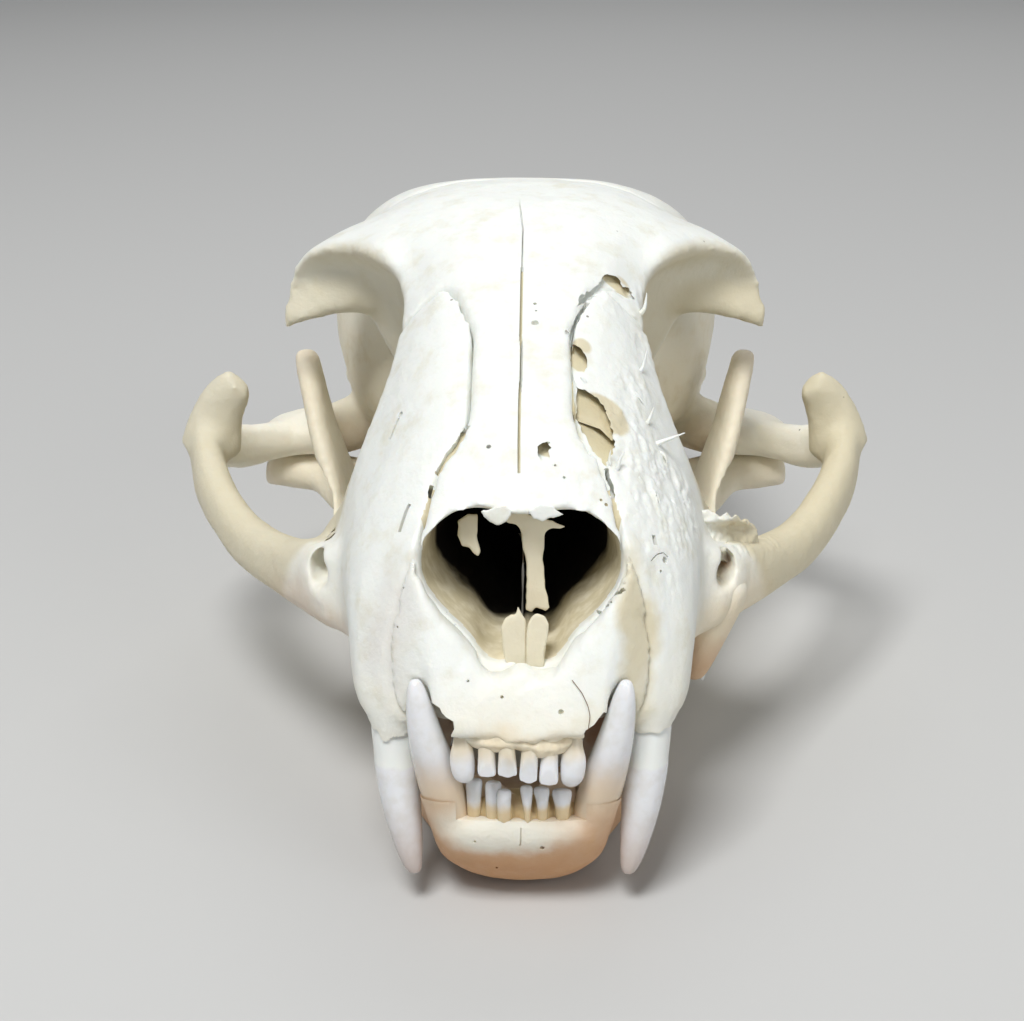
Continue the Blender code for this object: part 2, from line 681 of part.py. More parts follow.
def upper_skull():
    """The upper skull, cut open and parted into its bones."""
    whole = cranium()
    boolean(whole, drills(), "DIFFERENCE")
    thinned(whole, 5600)
    bones = []
    for side, name in ((1, "auditory_bulla_left"), (-1, "auditory_bulla_right")):
        boolean(whole, [bulla(side, GAP)], "DIFFERENCE")
        bones.append(boolean(bulla(side, 0.0), [ear_drill(side)], "DIFFERENCE"))
        bones[-1].name = name
    for side, name in ((1, "zygomatic_arch_left"), (-1, "zygomatic_arch_right")):
        bones.append(split(whole, name, lambda grow: arch_room(grow) if side > 0 else flipped(arch_room(grow))))
    bones.append(split(whole, "braincase", lambda grow: behind("back", 47.0, 0.22, grow)))
    nasals = split(whole, "nasal", nasal_room)
    bones += halves(nasals, "nasal_left", "nasal_right")
    bones.append(split(whole, "frontal", frontal_room))
    maxilla = split(whole, "maxilla", lambda grow: behind("front", 3.4, 0.2, grow))
    left, right = halves(maxilla, "maxilla_left", "maxilla_right")
    boolean(left, upper_side_teeth(), "UNION")
    boolean(right, [flipped(tooth) for tooth in upper_side_teeth(LOST_CHEEK_TOOTH)], "UNION")
    chance = random.Random(SEED)
    whole.name = "premaxilla"
    boolean(whole, upper_incisors(chance), "UNION")
    return [*bones, left, right, whole]


def lower_jaw():
    chance = random.Random(SEED + 1)
    left = jaw_half()
    left.name = "mandible_left"
    right = mirrored(left)
    right.name = "mandible_right"
    boolean(left, lower_side_teeth(chance), "UNION")
    boolean(right, [flipped(tooth) for tooth in lower_side_teeth(chance)], "UNION")
    return [left, right]


def septum():
    """What is left of the wall in the nose: a low stump in front and a thin upright blade behind."""
    rows = (
        (1.1, 3.8, 8.2, 4.2, 3.0), (1.1, 6.0, 8.6, 5.0, 2.8), (1.2, 8.5, 10.0, 7.4, 1.8),
        (1.3, 10.0, 11.1, 9.6, 1.4), (1.3, 12.0, 11.2, 9.8, 1.3),
    )
    return band("nasal_septum", rows, power=2.2, sides=12)


def lay_down(things):
    """Sets every bone down on the floor in metres, under one empty."""
    rest = bpy.data.objects.new("skull_at_rest", None)
    bpy.context.scene.collection.objects.link(rest)
    rest.rotation_euler = (-REST_TILT, 0, 0)
    rest.location = (0, -REST_CENTRE * MM, REST_LIFT * MM)
    for thing in things:
        thing.data.transform(Matrix.Scale(MM, 4))
        thing.parent = rest
        thing.data.shade_smooth()
        thing.data.set_sharp_from_angle(angle=math.radians(40))


def floor_cutter():
    """Everything under the floor, in the palate frame."""
    cutter = box("floor", (-60, -60, -30), (60, 80, 0))
    back = Matrix.Rotation(REST_TILT, 4, "X") @ Matrix.Translation((0, REST_CENTRE, -REST_LIFT))
    cutter.data.transform(back)
    return cutter


def main():
    for thing in list(bpy.data.objects):
        bpy.data.objects.remove(thing)
    bones = upper_skull()
    bones.append(septum())
    jaws = lower_jaw()
    for jaw in jaws:
        boolean(jaw, [floor_cutter()], "DIFFERENCE")
    for thing in [*bones, *jaws]:
        family = thing.name.removesuffix("_left").removesuffix("_right")
        thing.data.materials.clear()
        thing.data.materials.append(material(thing.name + "_bone", *FINISHES[family]))
    lay_down([*bones, *jaws])


main()
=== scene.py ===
"""Finish of a life-size cat skull: skins of bone with their seams, breaks and stains, and glossy teeth.

Shapes are made in millimetres along the tooth rows: x to the viewer's right, y back from the upper
incisors and z up from their sockets. LAY then tilts them as the skull rests, and makes them metres.
The viewer's left is the animal's right, and names with left and right are the animal's. A place on
the bone may be named by its pixel in the photograph, as across and down, where a ray meets the solids.
"""
import math
import random

import bpy
from bpy.props import FloatProperty, FloatVectorProperty, IntProperty, PointerProperty
from mathutils import Matrix, Vector, noise
from mathutils.bvhtree import BVHTree


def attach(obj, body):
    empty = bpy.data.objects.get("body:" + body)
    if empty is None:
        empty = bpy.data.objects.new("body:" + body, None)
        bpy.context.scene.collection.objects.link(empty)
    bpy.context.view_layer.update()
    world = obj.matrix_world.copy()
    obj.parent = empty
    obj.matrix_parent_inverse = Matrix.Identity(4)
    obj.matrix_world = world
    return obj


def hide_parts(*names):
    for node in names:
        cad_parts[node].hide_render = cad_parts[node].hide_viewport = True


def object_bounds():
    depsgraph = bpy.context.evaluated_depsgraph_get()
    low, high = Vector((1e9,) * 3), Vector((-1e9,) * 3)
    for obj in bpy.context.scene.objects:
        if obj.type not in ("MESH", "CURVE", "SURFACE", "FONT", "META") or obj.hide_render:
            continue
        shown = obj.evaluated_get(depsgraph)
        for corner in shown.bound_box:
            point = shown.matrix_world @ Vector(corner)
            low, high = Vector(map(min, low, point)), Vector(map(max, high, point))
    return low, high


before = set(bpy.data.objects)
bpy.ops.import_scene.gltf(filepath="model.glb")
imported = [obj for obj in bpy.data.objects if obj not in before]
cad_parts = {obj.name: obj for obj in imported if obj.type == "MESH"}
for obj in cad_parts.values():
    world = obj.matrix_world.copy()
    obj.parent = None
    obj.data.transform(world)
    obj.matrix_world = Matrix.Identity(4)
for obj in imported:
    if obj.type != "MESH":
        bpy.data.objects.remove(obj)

bl_info = {
    "name": "Cat skull finish",
    "version": (1, 0),
    "blender": (4, 5, 0),
    "location": "3D View > Sidebar > Skull",
    "description": "Dresses the solids of a cat skull with bone, seams and teeth",
    "category": "Object",
}

CAD_BOX = [list(corner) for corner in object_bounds()]
MM = 0.001
ROOT = "root"

# How the skull lies: the tooth rows are tilted down to the front, then set on the floor
REST_TILT = math.radians(8.1)
REST_LIFT = 16.6
REST_CENTRE = 47.5
LAY = (
    Matrix.Translation((0, -REST_CENTRE * MM, REST_LIFT * MM))
    @ Matrix.Rotation(-REST_TILT, 4, "X")
    @ Matrix.Scale(MM, 4)
)
UNLAY = LAY.inverted()

# The photograph's frame and its camera, about the tooth rows' axes
FRAME_WIDE, FRAME_HIGH = 1024, 1021
FOCAL_PIXELS = 1755.38
VIEW_TURN, VIEW_RISE, VIEW_ROLL = math.radians(0.788), math.radians(14.242), math.radians(-0.144)
VIEW_BACK, VIEW_ASIDE, VIEW_UP = 135.663, -0.663, 17.988
SENSOR = 36.0

# Skins of the bones: the nodes that one skin covers, its slot and the grain of its mesh
VAULT = (
    (("braincase",), "bone_ivory", 0.42),
    (("frontal", "nasal_left", "nasal_right"), "bone_white", 0.28),
)
CHEEKS = (
    (("maxilla_left", "zygomatic_arch_left"), "bone_white", 0.25),
    (("maxilla_right", "zygomatic_arch_right"), "bone_white", 0.25),
)
MOUTH = (
    (("premaxilla",), "bone_white", 0.18),
    (("mandible_left", "mandible_right"), "bone_stained", 0.27),
)
EARS = (
    (("auditory_bulla_left",), "bone_ivory", 0.30),
    (("auditory_bulla_right",), "bone_ivory", 0.30),
)
# How far solids grow so that their seams close, and what smoothing then takes off
BRIDGE, WORN = 0.25, 0.05
# How broad a skin's waves are
WAVE = 5.0
# Grains of the small pieces
TIP_GRAIN, FINE_GRAIN, ROOT_GRAIN, SHELF_GRAIN = 0.1, 0.12, 0.14, 0.22

# Openings broken through the bone, as outlines in pixels, with their depth and how ragged they are
BREAKS = (
    (((577, 308), (580, 297), (592, 289), (600, 283), (604, 275), (617, 276), (623, 286), (633, 292),
      (634, 300), (624, 298), (613, 291), (602, 292), (589, 299)), 1.0, 1.4),
    (((573, 344), (580, 347), (586, 357), (588, 367), (582, 378), (576, 384), (572, 375), (571, 360)),
     1.4, 0.9),
    (((576, 386), (588, 391), (600, 400), (608, 416), (613, 432), (615, 448), (606, 467), (599, 458),
      (592, 449), (583, 432), (576, 418)), 2.6, 1.3),
    (((539, 444), (548, 442), (551, 447), (548, 452), (550, 459), (541, 461), (537, 453)), 1.2, 1.0),
)
# How far a plug stands out of the bone, and how far a plate's rim may lie from its middle's depth
PLUG_RISE, PLATE_REACH = 1.6, 2.5
# Thin plates seen inside the widest of the openings: outline and how deep they lie
INNER_PLATES = (
    (((570, 382), (590, 388), (606, 402), (618, 430), (612, 441), (600, 429), (577, 421), (570, 410)), 0.9),
    (((570, 412), (594, 420), (612, 436), (620, 450), (606, 474), (588, 456)), 1.7),
)
INNER_THICK = 0.35

# Cracks and open seams: line in pixels, width and depth
MIDLINE = ((522, 268), (521, 320), (520, 380), (519, 440), (519, 474))
OPEN_SEAM = ((465, 430), (458, 444), (448, 455), (441, 468), (437, 476))
CRACKS = (
    (MIDLINE, 0.24, 0.9),
    (OPEN_SEAM, 0.42, 1.1),
    (((521, 828), (521, 838), (520, 846)), 0.12, 0.12),
    (((519, 185), (520, 205), (523, 232), (522, 271)), 0.14, 0.35),
    (((432, 485), (430, 492), (430, 500)), 0.34, 1.6),
    (((588, 303), (578, 316), (573, 330), (571, 344)), 0.30, 0.9),
    (((565, 331), (569, 335), (573, 338)), 0.26, 0.9),
    (((606, 468), (608, 478), (612, 488), (613, 500)), 0.32, 1.5),
    (((411, 505), (407, 512), (404, 522), (401, 533)), 0.34, 1.6),
    (((400, 419), (396, 428), (391, 440)), 0.30, 1.2),
    (((652, 536), (653, 540), (654, 546)), 0.42, 1.4),
    (((649, 562), (655, 555), (662, 553), (667, 558)), 0.10, 0.2),
    (((596, 613), (604, 607), (612, 602)), 0.30, 0.6),
    (((615, 596), (620, 593), (625, 589)), 0.30, 0.6),
)
# How far the cutter of a crack stands out of the bone, and the floors under the midline and the open
# seam: their width, how far they stand out and how deep they go
CRACK_RISE = 0.9
# The floors are tan bone, so these two cracks are darker at the bottom: painted shade
SEAM_FLOOR = (0.8, -0.4, 2.0)
# How far outside a node's box a mark may lie and still be on it
MARK_REACH = 0.4

# Pin holes and hollows: place in pixels, half width and depth
PITS = (
    ((535, 305), 0.17, 0.5), ((535, 324), 0.34, 0.6), ((536, 312), 0.12, 0.3), ((489, 448), 0.22, 0.8),
    ((548, 444), 0.15, 0.5), ((555, 466), 0.12, 0.4), ((564, 478), 0.14, 0.5), ((601, 500), 0.14, 0.5),
    ((606, 505), 0.17, 0.5), ((402, 415), 0.30, 0.6), ((502, 697), 0.14, 0.4), ((561, 712), 0.24, 0.4),
    ((468, 681), 0.12, 0.4), ((663, 561), 0.34, 0.8), ((659, 572), 0.16, 0.6), ((542, 847), 0.22, 0.5),
    ((404, 588), 0.12, 0.3), ((399, 627), 0.12, 0.3), ((446, 614), 0.12, 0.3), ((456, 625), 0.14, 0.4),
    ((484, 506), 0.12, 0.4), ((475, 841), 0.12, 0.3), ((497, 866), 0.14, 0.3),
)

# Frayed bone round the break on the viewer's right: place in pixels, reach and height of the ridges
FRAYS = (
    ((608, 300), 2.2, 0.16), ((640, 300), 1.8, 0.22), ((642, 345), 2.4, 0.26), ((632, 385), 2.6, 0.32),
    ((625, 420), 3.0, 0.34), ((640, 440), 2.6, 0.38), ((655, 465), 2.8, 0.42), ((630, 465), 2.8, 0.40),
    ((655, 495), 3.2, 0.42), ((680, 490), 2.6, 0.44), ((635, 505), 2.8, 0.34), ((672, 525), 3.2, 0.34),
    ((696, 520), 2.6, 0.36), ((715, 525), 2.4, 0.36), ((740, 542), 2.6, 0.34), ((765, 536), 2.2, 0.22),
    ((612, 450), 1.6, 0.30), ((640, 545), 2.6, 0.16), ((665, 575), 2.6, 0.14), ((592, 300), 1.8, 0.14),
    ((555, 500), 3.0, 0.10), ((590, 500), 2.4, 0.14), ((500, 505), 3.0, 0.08),
)
FRAYED = ("frontal", "maxilla_left")
# Two places along the run of the ridges
FRAY_RUN = ((655, 500), (625, 400))
# Splinters: root, middle and tip in pixels, width and how far the tip stands out
SPLINTERS = (
    ((656, 444), (668, 440), (679, 436), 0.42, 0.6), ((646, 425), (649, 418), (651, 409), 0.40, 0.3),
    ((640, 372), (643, 365), (645, 352), 0.36, 0.2), ((643, 312), (645, 303), (645, 294), 0.40, 0.2),
    ((632, 392), (637, 396), (641, 405), 0.36, 0.3), ((658, 452), (664, 458), (662, 466), 0.40, 0.5),
    ((610, 466), (608, 460), (609, 452), 0.36, 0.3), ((617, 470), (618, 460), (622, 455), 0.40, 0.4),
    ((654, 492), (656, 502), (655, 512), 0.44, 0.7), ((671, 500), (673, 508), (672, 516), 0.36, 0.6),
    ((637, 476), (640, 486), (639, 496), 0.40, 0.6), ((586, 384), (582, 379), (579, 378), 0.34, 0.2),
)

# Ragged crest on the broken arch, as an outline in pixels with the distances back of its two faces
CREST = (
    ((692, 500), (699, 505), (704, 511), (712, 511), (719, 517), (726, 513), (731, 520), (736, 514),
     (741, 522), (747, 519), (753, 525), (758, 531), (757, 552), (748, 560), (735, 566), (720, 560),
     (706, 549), (696, 528)),
    20.7, 22.3,
)
# Where across the frame the crest bends back with its arch, and by how much a pixel
CREST_BEND, CREST_SLOPE = 733, 0.17
# Root of the cheek's arch, from the top down: middle, width and depth. Patches paint its lower end darker, as
# painted shade
SHELF = (
    (17.6, 20.8, 7.6, 3.6, 4.6), (17.4, 20.7, 6.2, 5.4, 6.2), (16.7, 20.6, 4.0, 4.7, 6.0),
    (16.05, 20.6, 2.0, 4.1, 5.4), (15.5, 20.7, 0.0, 3.3, 4.4), (15.25, 20.7, -1.4, 2.4, 3.2),
    (15.2, 20.7, -2.1, 1.3, 1.8),
)
# Edge of the bone between the upper incisors: places, and widths
LIP_EDGE = (
    (-4.8, 2.7, 0.2), (-3.6, 1.7, -0.2), (-1.9, 1.2, -0.3), (-0.15, 1.1, -0.1), (1.5, 1.2, -0.7),
    (3.1, 1.7, -0.7), (4.6, 2.7, 0.1),
)
LIP_WIDTHS = (1.5, 1.9, 2.0, 1.6, 2.2, 2.0, 1.4)
# Gaps beside the upper incisors, as outlines in pixels, how far they go back and the walls behind them
LIP_GAPS = (
    ((432, 703), (440, 708), (442, 713), (447, 718), (454, 722), (455, 730), (452, 736), (450, 747),
     (449, 764), (428, 764), (426, 715)),
    ((604, 712), (599, 718), (594, 725), (585, 731), (583, 735), (584, 745), (587, 764), (612, 764),
     (610, 715)),
)
GAP_DEPTHS, WALL_DEPTHS = (-3.0, 7.0), (7.2, 8.4)
# Room round the upper incisors, as two corners, and that round one side's lower ones, as its reach
# across, back and high
LIP_ROOM = ((-5.9, -2.5, -5.0), (5.9, 3.9, -0.1))
JAW_ROOM = ((-0.4, 5.2), (-1.0, 4.4), (-7.7, -3.0))

# Wall in the nose and what stands before it: outline in pixels, and distance back of front and rear
SEPTUM = (
    ((505, 517), (512, 513), (520, 509), (528, 514), (540, 519), (553, 521), (566, 527), (561, 529),
     (552, 528), (545, 532), (543, 560), (545, 585), (550, 608), (546, 611), (536, 607), (531, 612),
     (526, 610), (527, 588), (526, 556), (523, 549), (522, 532), (517, 525), (506, 522)), 8.6, 11.5,
)
TONGUES = (
    (((528, 623), (532, 616), (537, 613), (545, 616), (549, 624), (548, 637), (544, 652), (545, 668),
      (526, 668), (526, 640)), 4.4, 6.8),
    (((501, 627), (505, 618), (512, 614), (516, 615), (518, 606), (522, 614), (526, 620), (526, 640),
      (527, 668), (507, 668), (503, 651)), 4.6, 7.0),
)
# Swelling of each tongue: its pixel, distance back and half sizes
TONGUE_SWELLS = (((537, 642), 5.4, (0.75, 0.8, 2.0)), ((514, 642), 5.6, (0.8, 0.8, 1.9)))
SCROLL = (
    ((458, 521), (468, 514), (478, 514), (477, 536), (481, 552), (478, 556), (473, 553), (469, 547),
     (462, 546), (458, 536)), 9.5, 11.0,
)
NASAL_TIPS = (
    ((480, 511), (484, 517), (492, 523), (498, 525), (507, 521), (512, 512), (505, 505)),
    ((528, 511), (534, 518), (543, 521), (551, 518), (557, 517), (564, 514), (557, 511), (553, 506),
     (540, 503)),
)
TIP_DEPTHS = (5.4, 6.6)
# Room of the nose: the height of its middle, its half width, its lowest and highest place, and the
# distances back of its mouth, which leans back with height, and of its end
NOSE_MIDDLE, NOSE_HALF = 11, 8.4
NOSE_LOW, NOSE_HIGH = 3.6, 17.8
NOSE_MOUTH, NOSE_LEAN, NOSE_END = 4.2, 0.22, 38
# Where the lining of the nose turns black, as painted shade of the deep nose
PAINTED_SHADE_FROM, PAINTED_SHADE_TO = 14.6, 16.6
# Stray hair on the lip, as a line in pixels, and how far it lies off the bone
HAIR = ((572, 680), (582, 693), (588, 706), (590, 716), (588, 730))
HAIR_LIFT = 0.16

# Canines, one row a section from root to tip: middle, width and depth
UPPER_CANINE = (
    (10.4, 7.4, 4.0, 4.2, 4.8), (10.25, 6.6, 1.0, 4.2, 4.8), (10.15, 6.1, -1.6, 4.05, 4.6),
    (10.05, 5.9, -3.4, 3.8, 4.4), (10.02, 5.8, -3.8, 3.95, 4.5), (9.95, 5.7, -5.2, 3.75, 4.3),
    (9.75, 5.5, -7.6, 3.3, 3.8), (9.4, 5.3, -9.8, 2.75, 3.2), (9.05, 5.05, -11.8, 2.05, 2.4),
    (8.8, 4.9, -12.8, 1.45, 1.7), (8.72, 4.85, -13.25, 0.8, 0.9),
)
LOWER_CANINE = (
    (5.2, 6.0, -11.0, 3.4, 3.6), (5.7, 5.0, -8.6, 3.6, 3.8), (6.1, 4.4, -6.6, 3.75, 3.9),
    (6.5, 3.8, -4.8, 3.75, 3.9), (7.05, 3.1, -2.4, 3.4, 3.6), (7.5, 2.6, -0.4, 2.95, 3.1),
    (7.85, 2.25, 1.6, 2.4, 2.5), (8.08, 2.05, 3.2, 1.8, 1.9), (8.18, 2.0, 4.05, 1.25, 1.3),
    (8.2, 2.0, 4.5, 0.7, 0.75),
)
# How much wider a socket is than its tooth, on each side
SOCKET = 0.25
# Upper incisors: place across and height of the neck, the bulge and the tip, then the neck's and the
# bulge's widths and the distance back
UPPER_INCISORS = (
    (-4.53, 0.25, -4.62, -1.6, -4.45, -4.0, 1.45, 2.15, 1.9),
    (-2.69, -0.5, -2.64, -2.6, -2.61, -3.2, 1.35, 1.6, 1.2),
    (-1.10, -0.5, -1.03, -2.5, -1.03, -3.1, 1.35, 1.65, 0.9),
    (0.74, -0.9, 0.57, -2.9, 0.65, -3.6, 1.4, 1.5, 0.9),
    (2.27, -1.1, 2.17, -3.2, 2.22, -3.9, 1.4, 1.65, 1.2),
    (4.06, -0.4, 4.15, -1.9, 3.96, -4.3, 1.6, 2.2, 1.9),
)
# Lower incisors: place across and height of the edge and the neck, their widths and distance back
LOWER_INCISORS = (
    (-3.75, -4.4, -3.78, -6.3, 1.45, 1.2, 3.5), (-2.19, -4.45, -2.24, -6.1, 1.4, 1.25, 3.1),
    (-1.33, -4.95, -1.35, -6.3, 1.25, 1.15, 2.6), (0.43, -4.7, 0.54, -7.6, 1.1, 0.5, 2.8),
    (1.63, -4.85, 1.72, -6.5, 1.4, 0.9, 2.9), (3.27, -5.1, 3.32, -7.1, 1.75, 1.15, 3.1),
)
# Amber bone that the lower incisors' roots stand in: middle and half sizes
ROOT_BED = ((0, 5.0, -7.6), (5.4, 1.7, 1.6))
# Cheek teeth: middle of the root line, length along the row, width and the heights of the cusps
UPPER_CHEEK = (
    ((11.4, 10.8, 1.0), 1.8, 1.5, (1.4,)), ((12.2, 15.8, 1.8), 6.4, 2.7, (2.2, 4.4, 2.4)),
    ((16.3, 24.0, 3.0), 10.4, 3.7, (3.2, 6.4, 4.2)), ((15.0, 30.8, 4.2), 1.9, 2.9, (1.2,)),
)
LOWER_CHEEK = (
    ((7.4, 16.8, -5.8), 5.6, 2.5, (1.8, 3.8, 2.0)), ((9.4, 23.6, -4.8), 7.0, 2.7, (2.4, 5.0, 2.8)),
    ((11.2, 31.4, -3.8), 8.2, 2.7, (5.0, 5.6)),
)
# How far a row of cheek teeth turns out of line with the skull
ROW_TURN = math.radians(-18)
# The viewer's left side has lost its largest cheek tooth
LOST_CHEEK_TOOTH = 2
# The animal's sides, and which way each lies
SIDES = (("left", 1), ("right", -1))

# Bands of colour over the height of the teeth: colour, start, end and share
UPPER_BANDS = (("blush", -5.5, -14.5, 0.8), ("white", -3.9, -3.5, 0.9))
LOWER_BANDS = (("blush", -0.5, -5.5, 0.35), ("peach", -1.4, -5.4, 1.0))
FRONT_BANDS = (("neck", -2.4, -0.8, 0.8), ("blush", -3.2, -4.4, 0.2))
SMALL_BANDS = (("amber", -6.0, -7.0, 0.9),)
ROOT_BANDS = (("stain_and_shade", -7.2, -8.4, 0.7),)
# How far the edges of the bands wander, and what faint clouds leave of the enamel's colour
SWAY, FAINT = 0.9, (0.94, 0.93, 0.90, 1)

# What dull spots leave of the bone's colour, and its pin holes: colour, number a millimetre and the
# share of places that have none
DULL = (0.88, 0.84, 0.74, 1)
PORE, PORES, PORELESS = (0.12, 0.09, 0.06, 1), 0.34, 0.88
# How far the soft edges of patches wander
DRIFT = 5
# Half sizes of the room of an eye
EYE_ROOM = (17.4, 16.4, 19.8)
# Patches of colour on the bone: colour, middle, half sizes, softness and share
WHITE_PATCHES = (
    ("ivory", (0, 53, 4), (46, 36, 14), 0.4, 0.9),
    ("ivory", (0, 9, -2), (17, 14, 6), 0.5, 0.6),
    ("tan", (24, 36, 18), EYE_ROOM, 0.05, 0.85),
    ("tan", (-24, 36, 18), EYE_ROOM, 0.05, 0.7),
    ("tan", (9.0, 4.2, 7.5), (1.5, 3.0, 7.5), 0.5, 0.85),
    ("tan", (13.5, 6.0, 2.0), (2.4, 4.0, 5.5), 0.7, 0.2),
    # Brown on the walls behind the gaps beside the upper incisors: brown stain and painted shade inside the
    # mouth
    ("brown", (6.6, 11, 0.4), (2.8, 7.4, 3.4), 0.2, 0.85),
    ("brown", (-6.6, 11, 0.4), (2.8, 7.4, 3.4), 0.2, 0.6),
    # Dark brown where the top of the cheek's shelf meets the bone behind it: painted shade
    ("brown", (18.2, 23.5, 8.0), (1.7, 3.4, 2.2), 0.2, 0.85),
    ("amber", (0.4, 1.4, -1.0), (5.2, 2.6, 1.4), 0.7, 0.55),
    ("blush", (-10.0, 5.0, 8.0), (2.2, 3.0, 5.0), 0.8, 0.25),
    # Brown under the palate: brown stain and painted shade inside the mouth
    ("brown", (0, 17, -3.2), (10, 13, 4.4), 0.3, 0.85),
    # Amber and stain on the cheek's shelf and under the arches' roots, darker towards the bottom: painted
    # shade
    ("amber", (17.4, 21, 1.6), (6, 7, 6), 0.5, 0.55),
    ("stain_and_shade", (15.6, 20.6, -1.4), (4, 5, 3.4), 0.7, 0.6),
    ("stain_and_shade", (-18.5, 22, 3), (6, 8, 3.4), 0.6, 0.35),
    ("tan", (6.3, 15.4, 21.2), (2.6, 1.9, 3.8), 0.08, 0.9),
    ("tan", (4.9, 20.6, 26.0), (1.3, 1.3, 2.4), 0.08, 0.9),
    ("tan", (7.2, 31.2, 31.0), (2.4, 1.0, 1.7), 0.08, 0.9),
    ("tan", (2.1, 12.6, 20.4), (1.3, 1.4, 1.6), 0.08, 0.9),
)
IVORY_PATCHES = (
    ("white", (0, 54, 44), (32, 40, 17), 0.5, 0.9),
    ("stain_and_shade", (24, 62, 8), (9, 6, 5), 0.5, 0.35),
    ("stain_and_shade", (-24, 62, 8), (9, 6, 5), 0.5, 0.35),
    # Darker under the front roots of the arches: painted shade
    ("stain_and_shade", (21, 25, 2.5), (7, 10, 4), 0.6, 0.45),
    ("stain_and_shade", (-21, 25, 2.5), (7, 10, 4), 0.6, 0.35),
)
STAINED_PATCHES = (
    ("ivory", (0, 52, 8), (40, 26, 20), 0.5, 0.97),
    ("stain_and_shade", (0, 7, -14.2), (13, 12, 4.8), 0.6, 0.85),
    ("stain_and_shade", (8.6, 9, -10.2), (4.2, 11, 4.6), 0.7, 0.6),
    ("stain_and_shade", (-8.6, 9, -10.2), (4.2, 11, 4.6), 0.7, 0.5),
    # Brown on the inner lower jaw: brown stain and painted shade inside the mouth
    ("brown", (0, 17, -3.8), (9, 12, 5.4), 0.3, 0.8),
    ("chalk", (-1.1, 2.4, -8.7), (4.9, 3.4, 1.9), 0.5, 0.95),
)

# Studio, in metres: lamps with their place, side and power, where they point, the sky and the floor
LAMPS = (
    ("key", (-0.12, -0.30, 0.62), 0.24, 4.0),
    ("fill", (0.45, -0.45, 0.30), 0.40, 0.9),
    ("back", (0.05, 0.50, 0.55), 0.50, 1.0),
)
LAMP_TARGET = (0, 0, 0.02)
SKY, SKY_STRENGTH = (0.9, 0.92, 0.95, 1), 0.24
FLOOR_SIDE = 6.0


def view():
    """The camera's place, and its axes as the columns right, up and back."""
    back = Vector((
        math.sin(VIEW_TURN) * math.cos(VIEW_RISE),
        -math.cos(VIEW_TURN) * math.cos(VIEW_RISE),
        math.sin(VIEW_RISE),
    ))
    right = Vector((0, 0, 1)).cross(back).normalized()
    up = back.cross(right)
    roll = Matrix.Rotation(VIEW_ROLL, 3, back)
    right, up = roll @ right, roll @ up
    return back * VIEW_BACK + right * VIEW_ASIDE + up * VIEW_UP, Matrix((right, up, back)).transposed()


def solids():
    """Every solid of the frame in one tree for rays, in millimetres."""
    points, faces = [], []
    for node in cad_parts.values():
        first = len(points)
        points += [UNLAY @ corner.co for corner in node.data.vertices]
        faces += [[first + i for i in face.vertices] for face in node.data.polygons]
    return BVHTree.FromPolygons(points, faces)


EYE, AXES = view()
SOLIDS = solids()
# A seam is about four pixels wide, and what lies this far behind its neighbours is inside it
NEIGHBOURS = ((0, 0), (5, 0), (-5, 0), (0, 5), (0, -5))
FARTHER = ((12, 0), (-12, 0), (0, 12), (0, -12))
SEAM_DEPTH = 1.2


def ray(pixel):
    across = (pixel[0] - FRAME_WIDE / 2) / FOCAL_PIXELS
    up = (FRAME_HIGH / 2 - pixel[1]) / FOCAL_PIXELS
    return (AXES @ Vector((across, up, -1))).normalized()


def hits(pixel, steps):
    found = []
    for across, down in steps:
        place, normal, _, far = SOLIDS.ray_cast(EYE, ray((pixel[0] + across, pixel[1] + down)))
        if place is not None:
            found.append((far, normal))
    return found


def seen(pixel):
    """Place and normal of the bone at a pixel of the photograph, as if its seams were closed."""
    found = hits(pixel, NEIGHBOURS) or hits(pixel, FARTHER)
    if not found:
        raise RuntimeError(f"no bone at pixel {pixel}")
    nearest = min(far for far, _ in found)
    close = [(far, normal) for far, normal in found if far < nearest + SEAM_DEPTH]
    normal = sum((normal for _, normal in close), Vector()).normalized()
    return EYE + ray(pixel) * close[0][0], normal


def deep(pixel, back):
    """The place behind a pixel at a distance back from the incisors."""
    way = ray(pixel)
    return EYE + way * ((back - EYE.y) / way.y)


def along(pixels, step):
    """The line through the pixels, in even steps."""
    line = []
    for a, b in zip(pixels, pixels[1:]):
        count = max(1, round(math.dist(a, b) / step))
        line += [(a[0] + (b[0] - a[0]) * k / count, a[1] + (b[1] - a[1]) * k / count) for k in range(count)]
    return [*line, pixels[-1]]


def ragged(outline, step, shake, chance):
    """A closed outline in small steps, shaken as a broken edge is."""
    line = along([*outline, outline[0]], step)[:-1]
    return [(x + chance.uniform(-shake, shake), y + chance.uniform(-shake, shake)) for x, y in line]


def placed(name, data):
    """A new object in the scene."""
    made = bpy.data.objects.new(name, data)
    bpy.context.scene.collection.objects.link(made)
    return made


def settle():
    """Moves the place, turn and size of what is selected into its mesh."""
    bpy.ops.object.transform_apply(location=True, rotation=True, scale=True)


def only(thing):
    """Selects one object and makes it active."""
    bpy.ops.object.select_all(action="DESELECT")
    thing.select_set(True)
    bpy.context.view_layer.objects.active = thing


def editing(thing):
    only(thing)
    bpy.ops.object.mode_set(mode="EDIT")
    bpy.ops.mesh.select_all(action="SELECT")


def done_editing():
    bpy.ops.object.mode_set(mode="OBJECT")


def facing_out(thing):
    editing(thing)
    bpy.ops.mesh.normals_make_consistent(inside=False)
    done_editing()
    return thing


def apply(thing, kind, **settings):
    """Adds a modifier with its settings and applies it."""
    modifier = thing.modifiers.new(kind.lower(), kind)
    for name, value in settings.items():
        setattr(modifier, name, value)
    only(thing)
    bpy.ops.object.modifier_apply(modifier=modifier.name)
    return thing


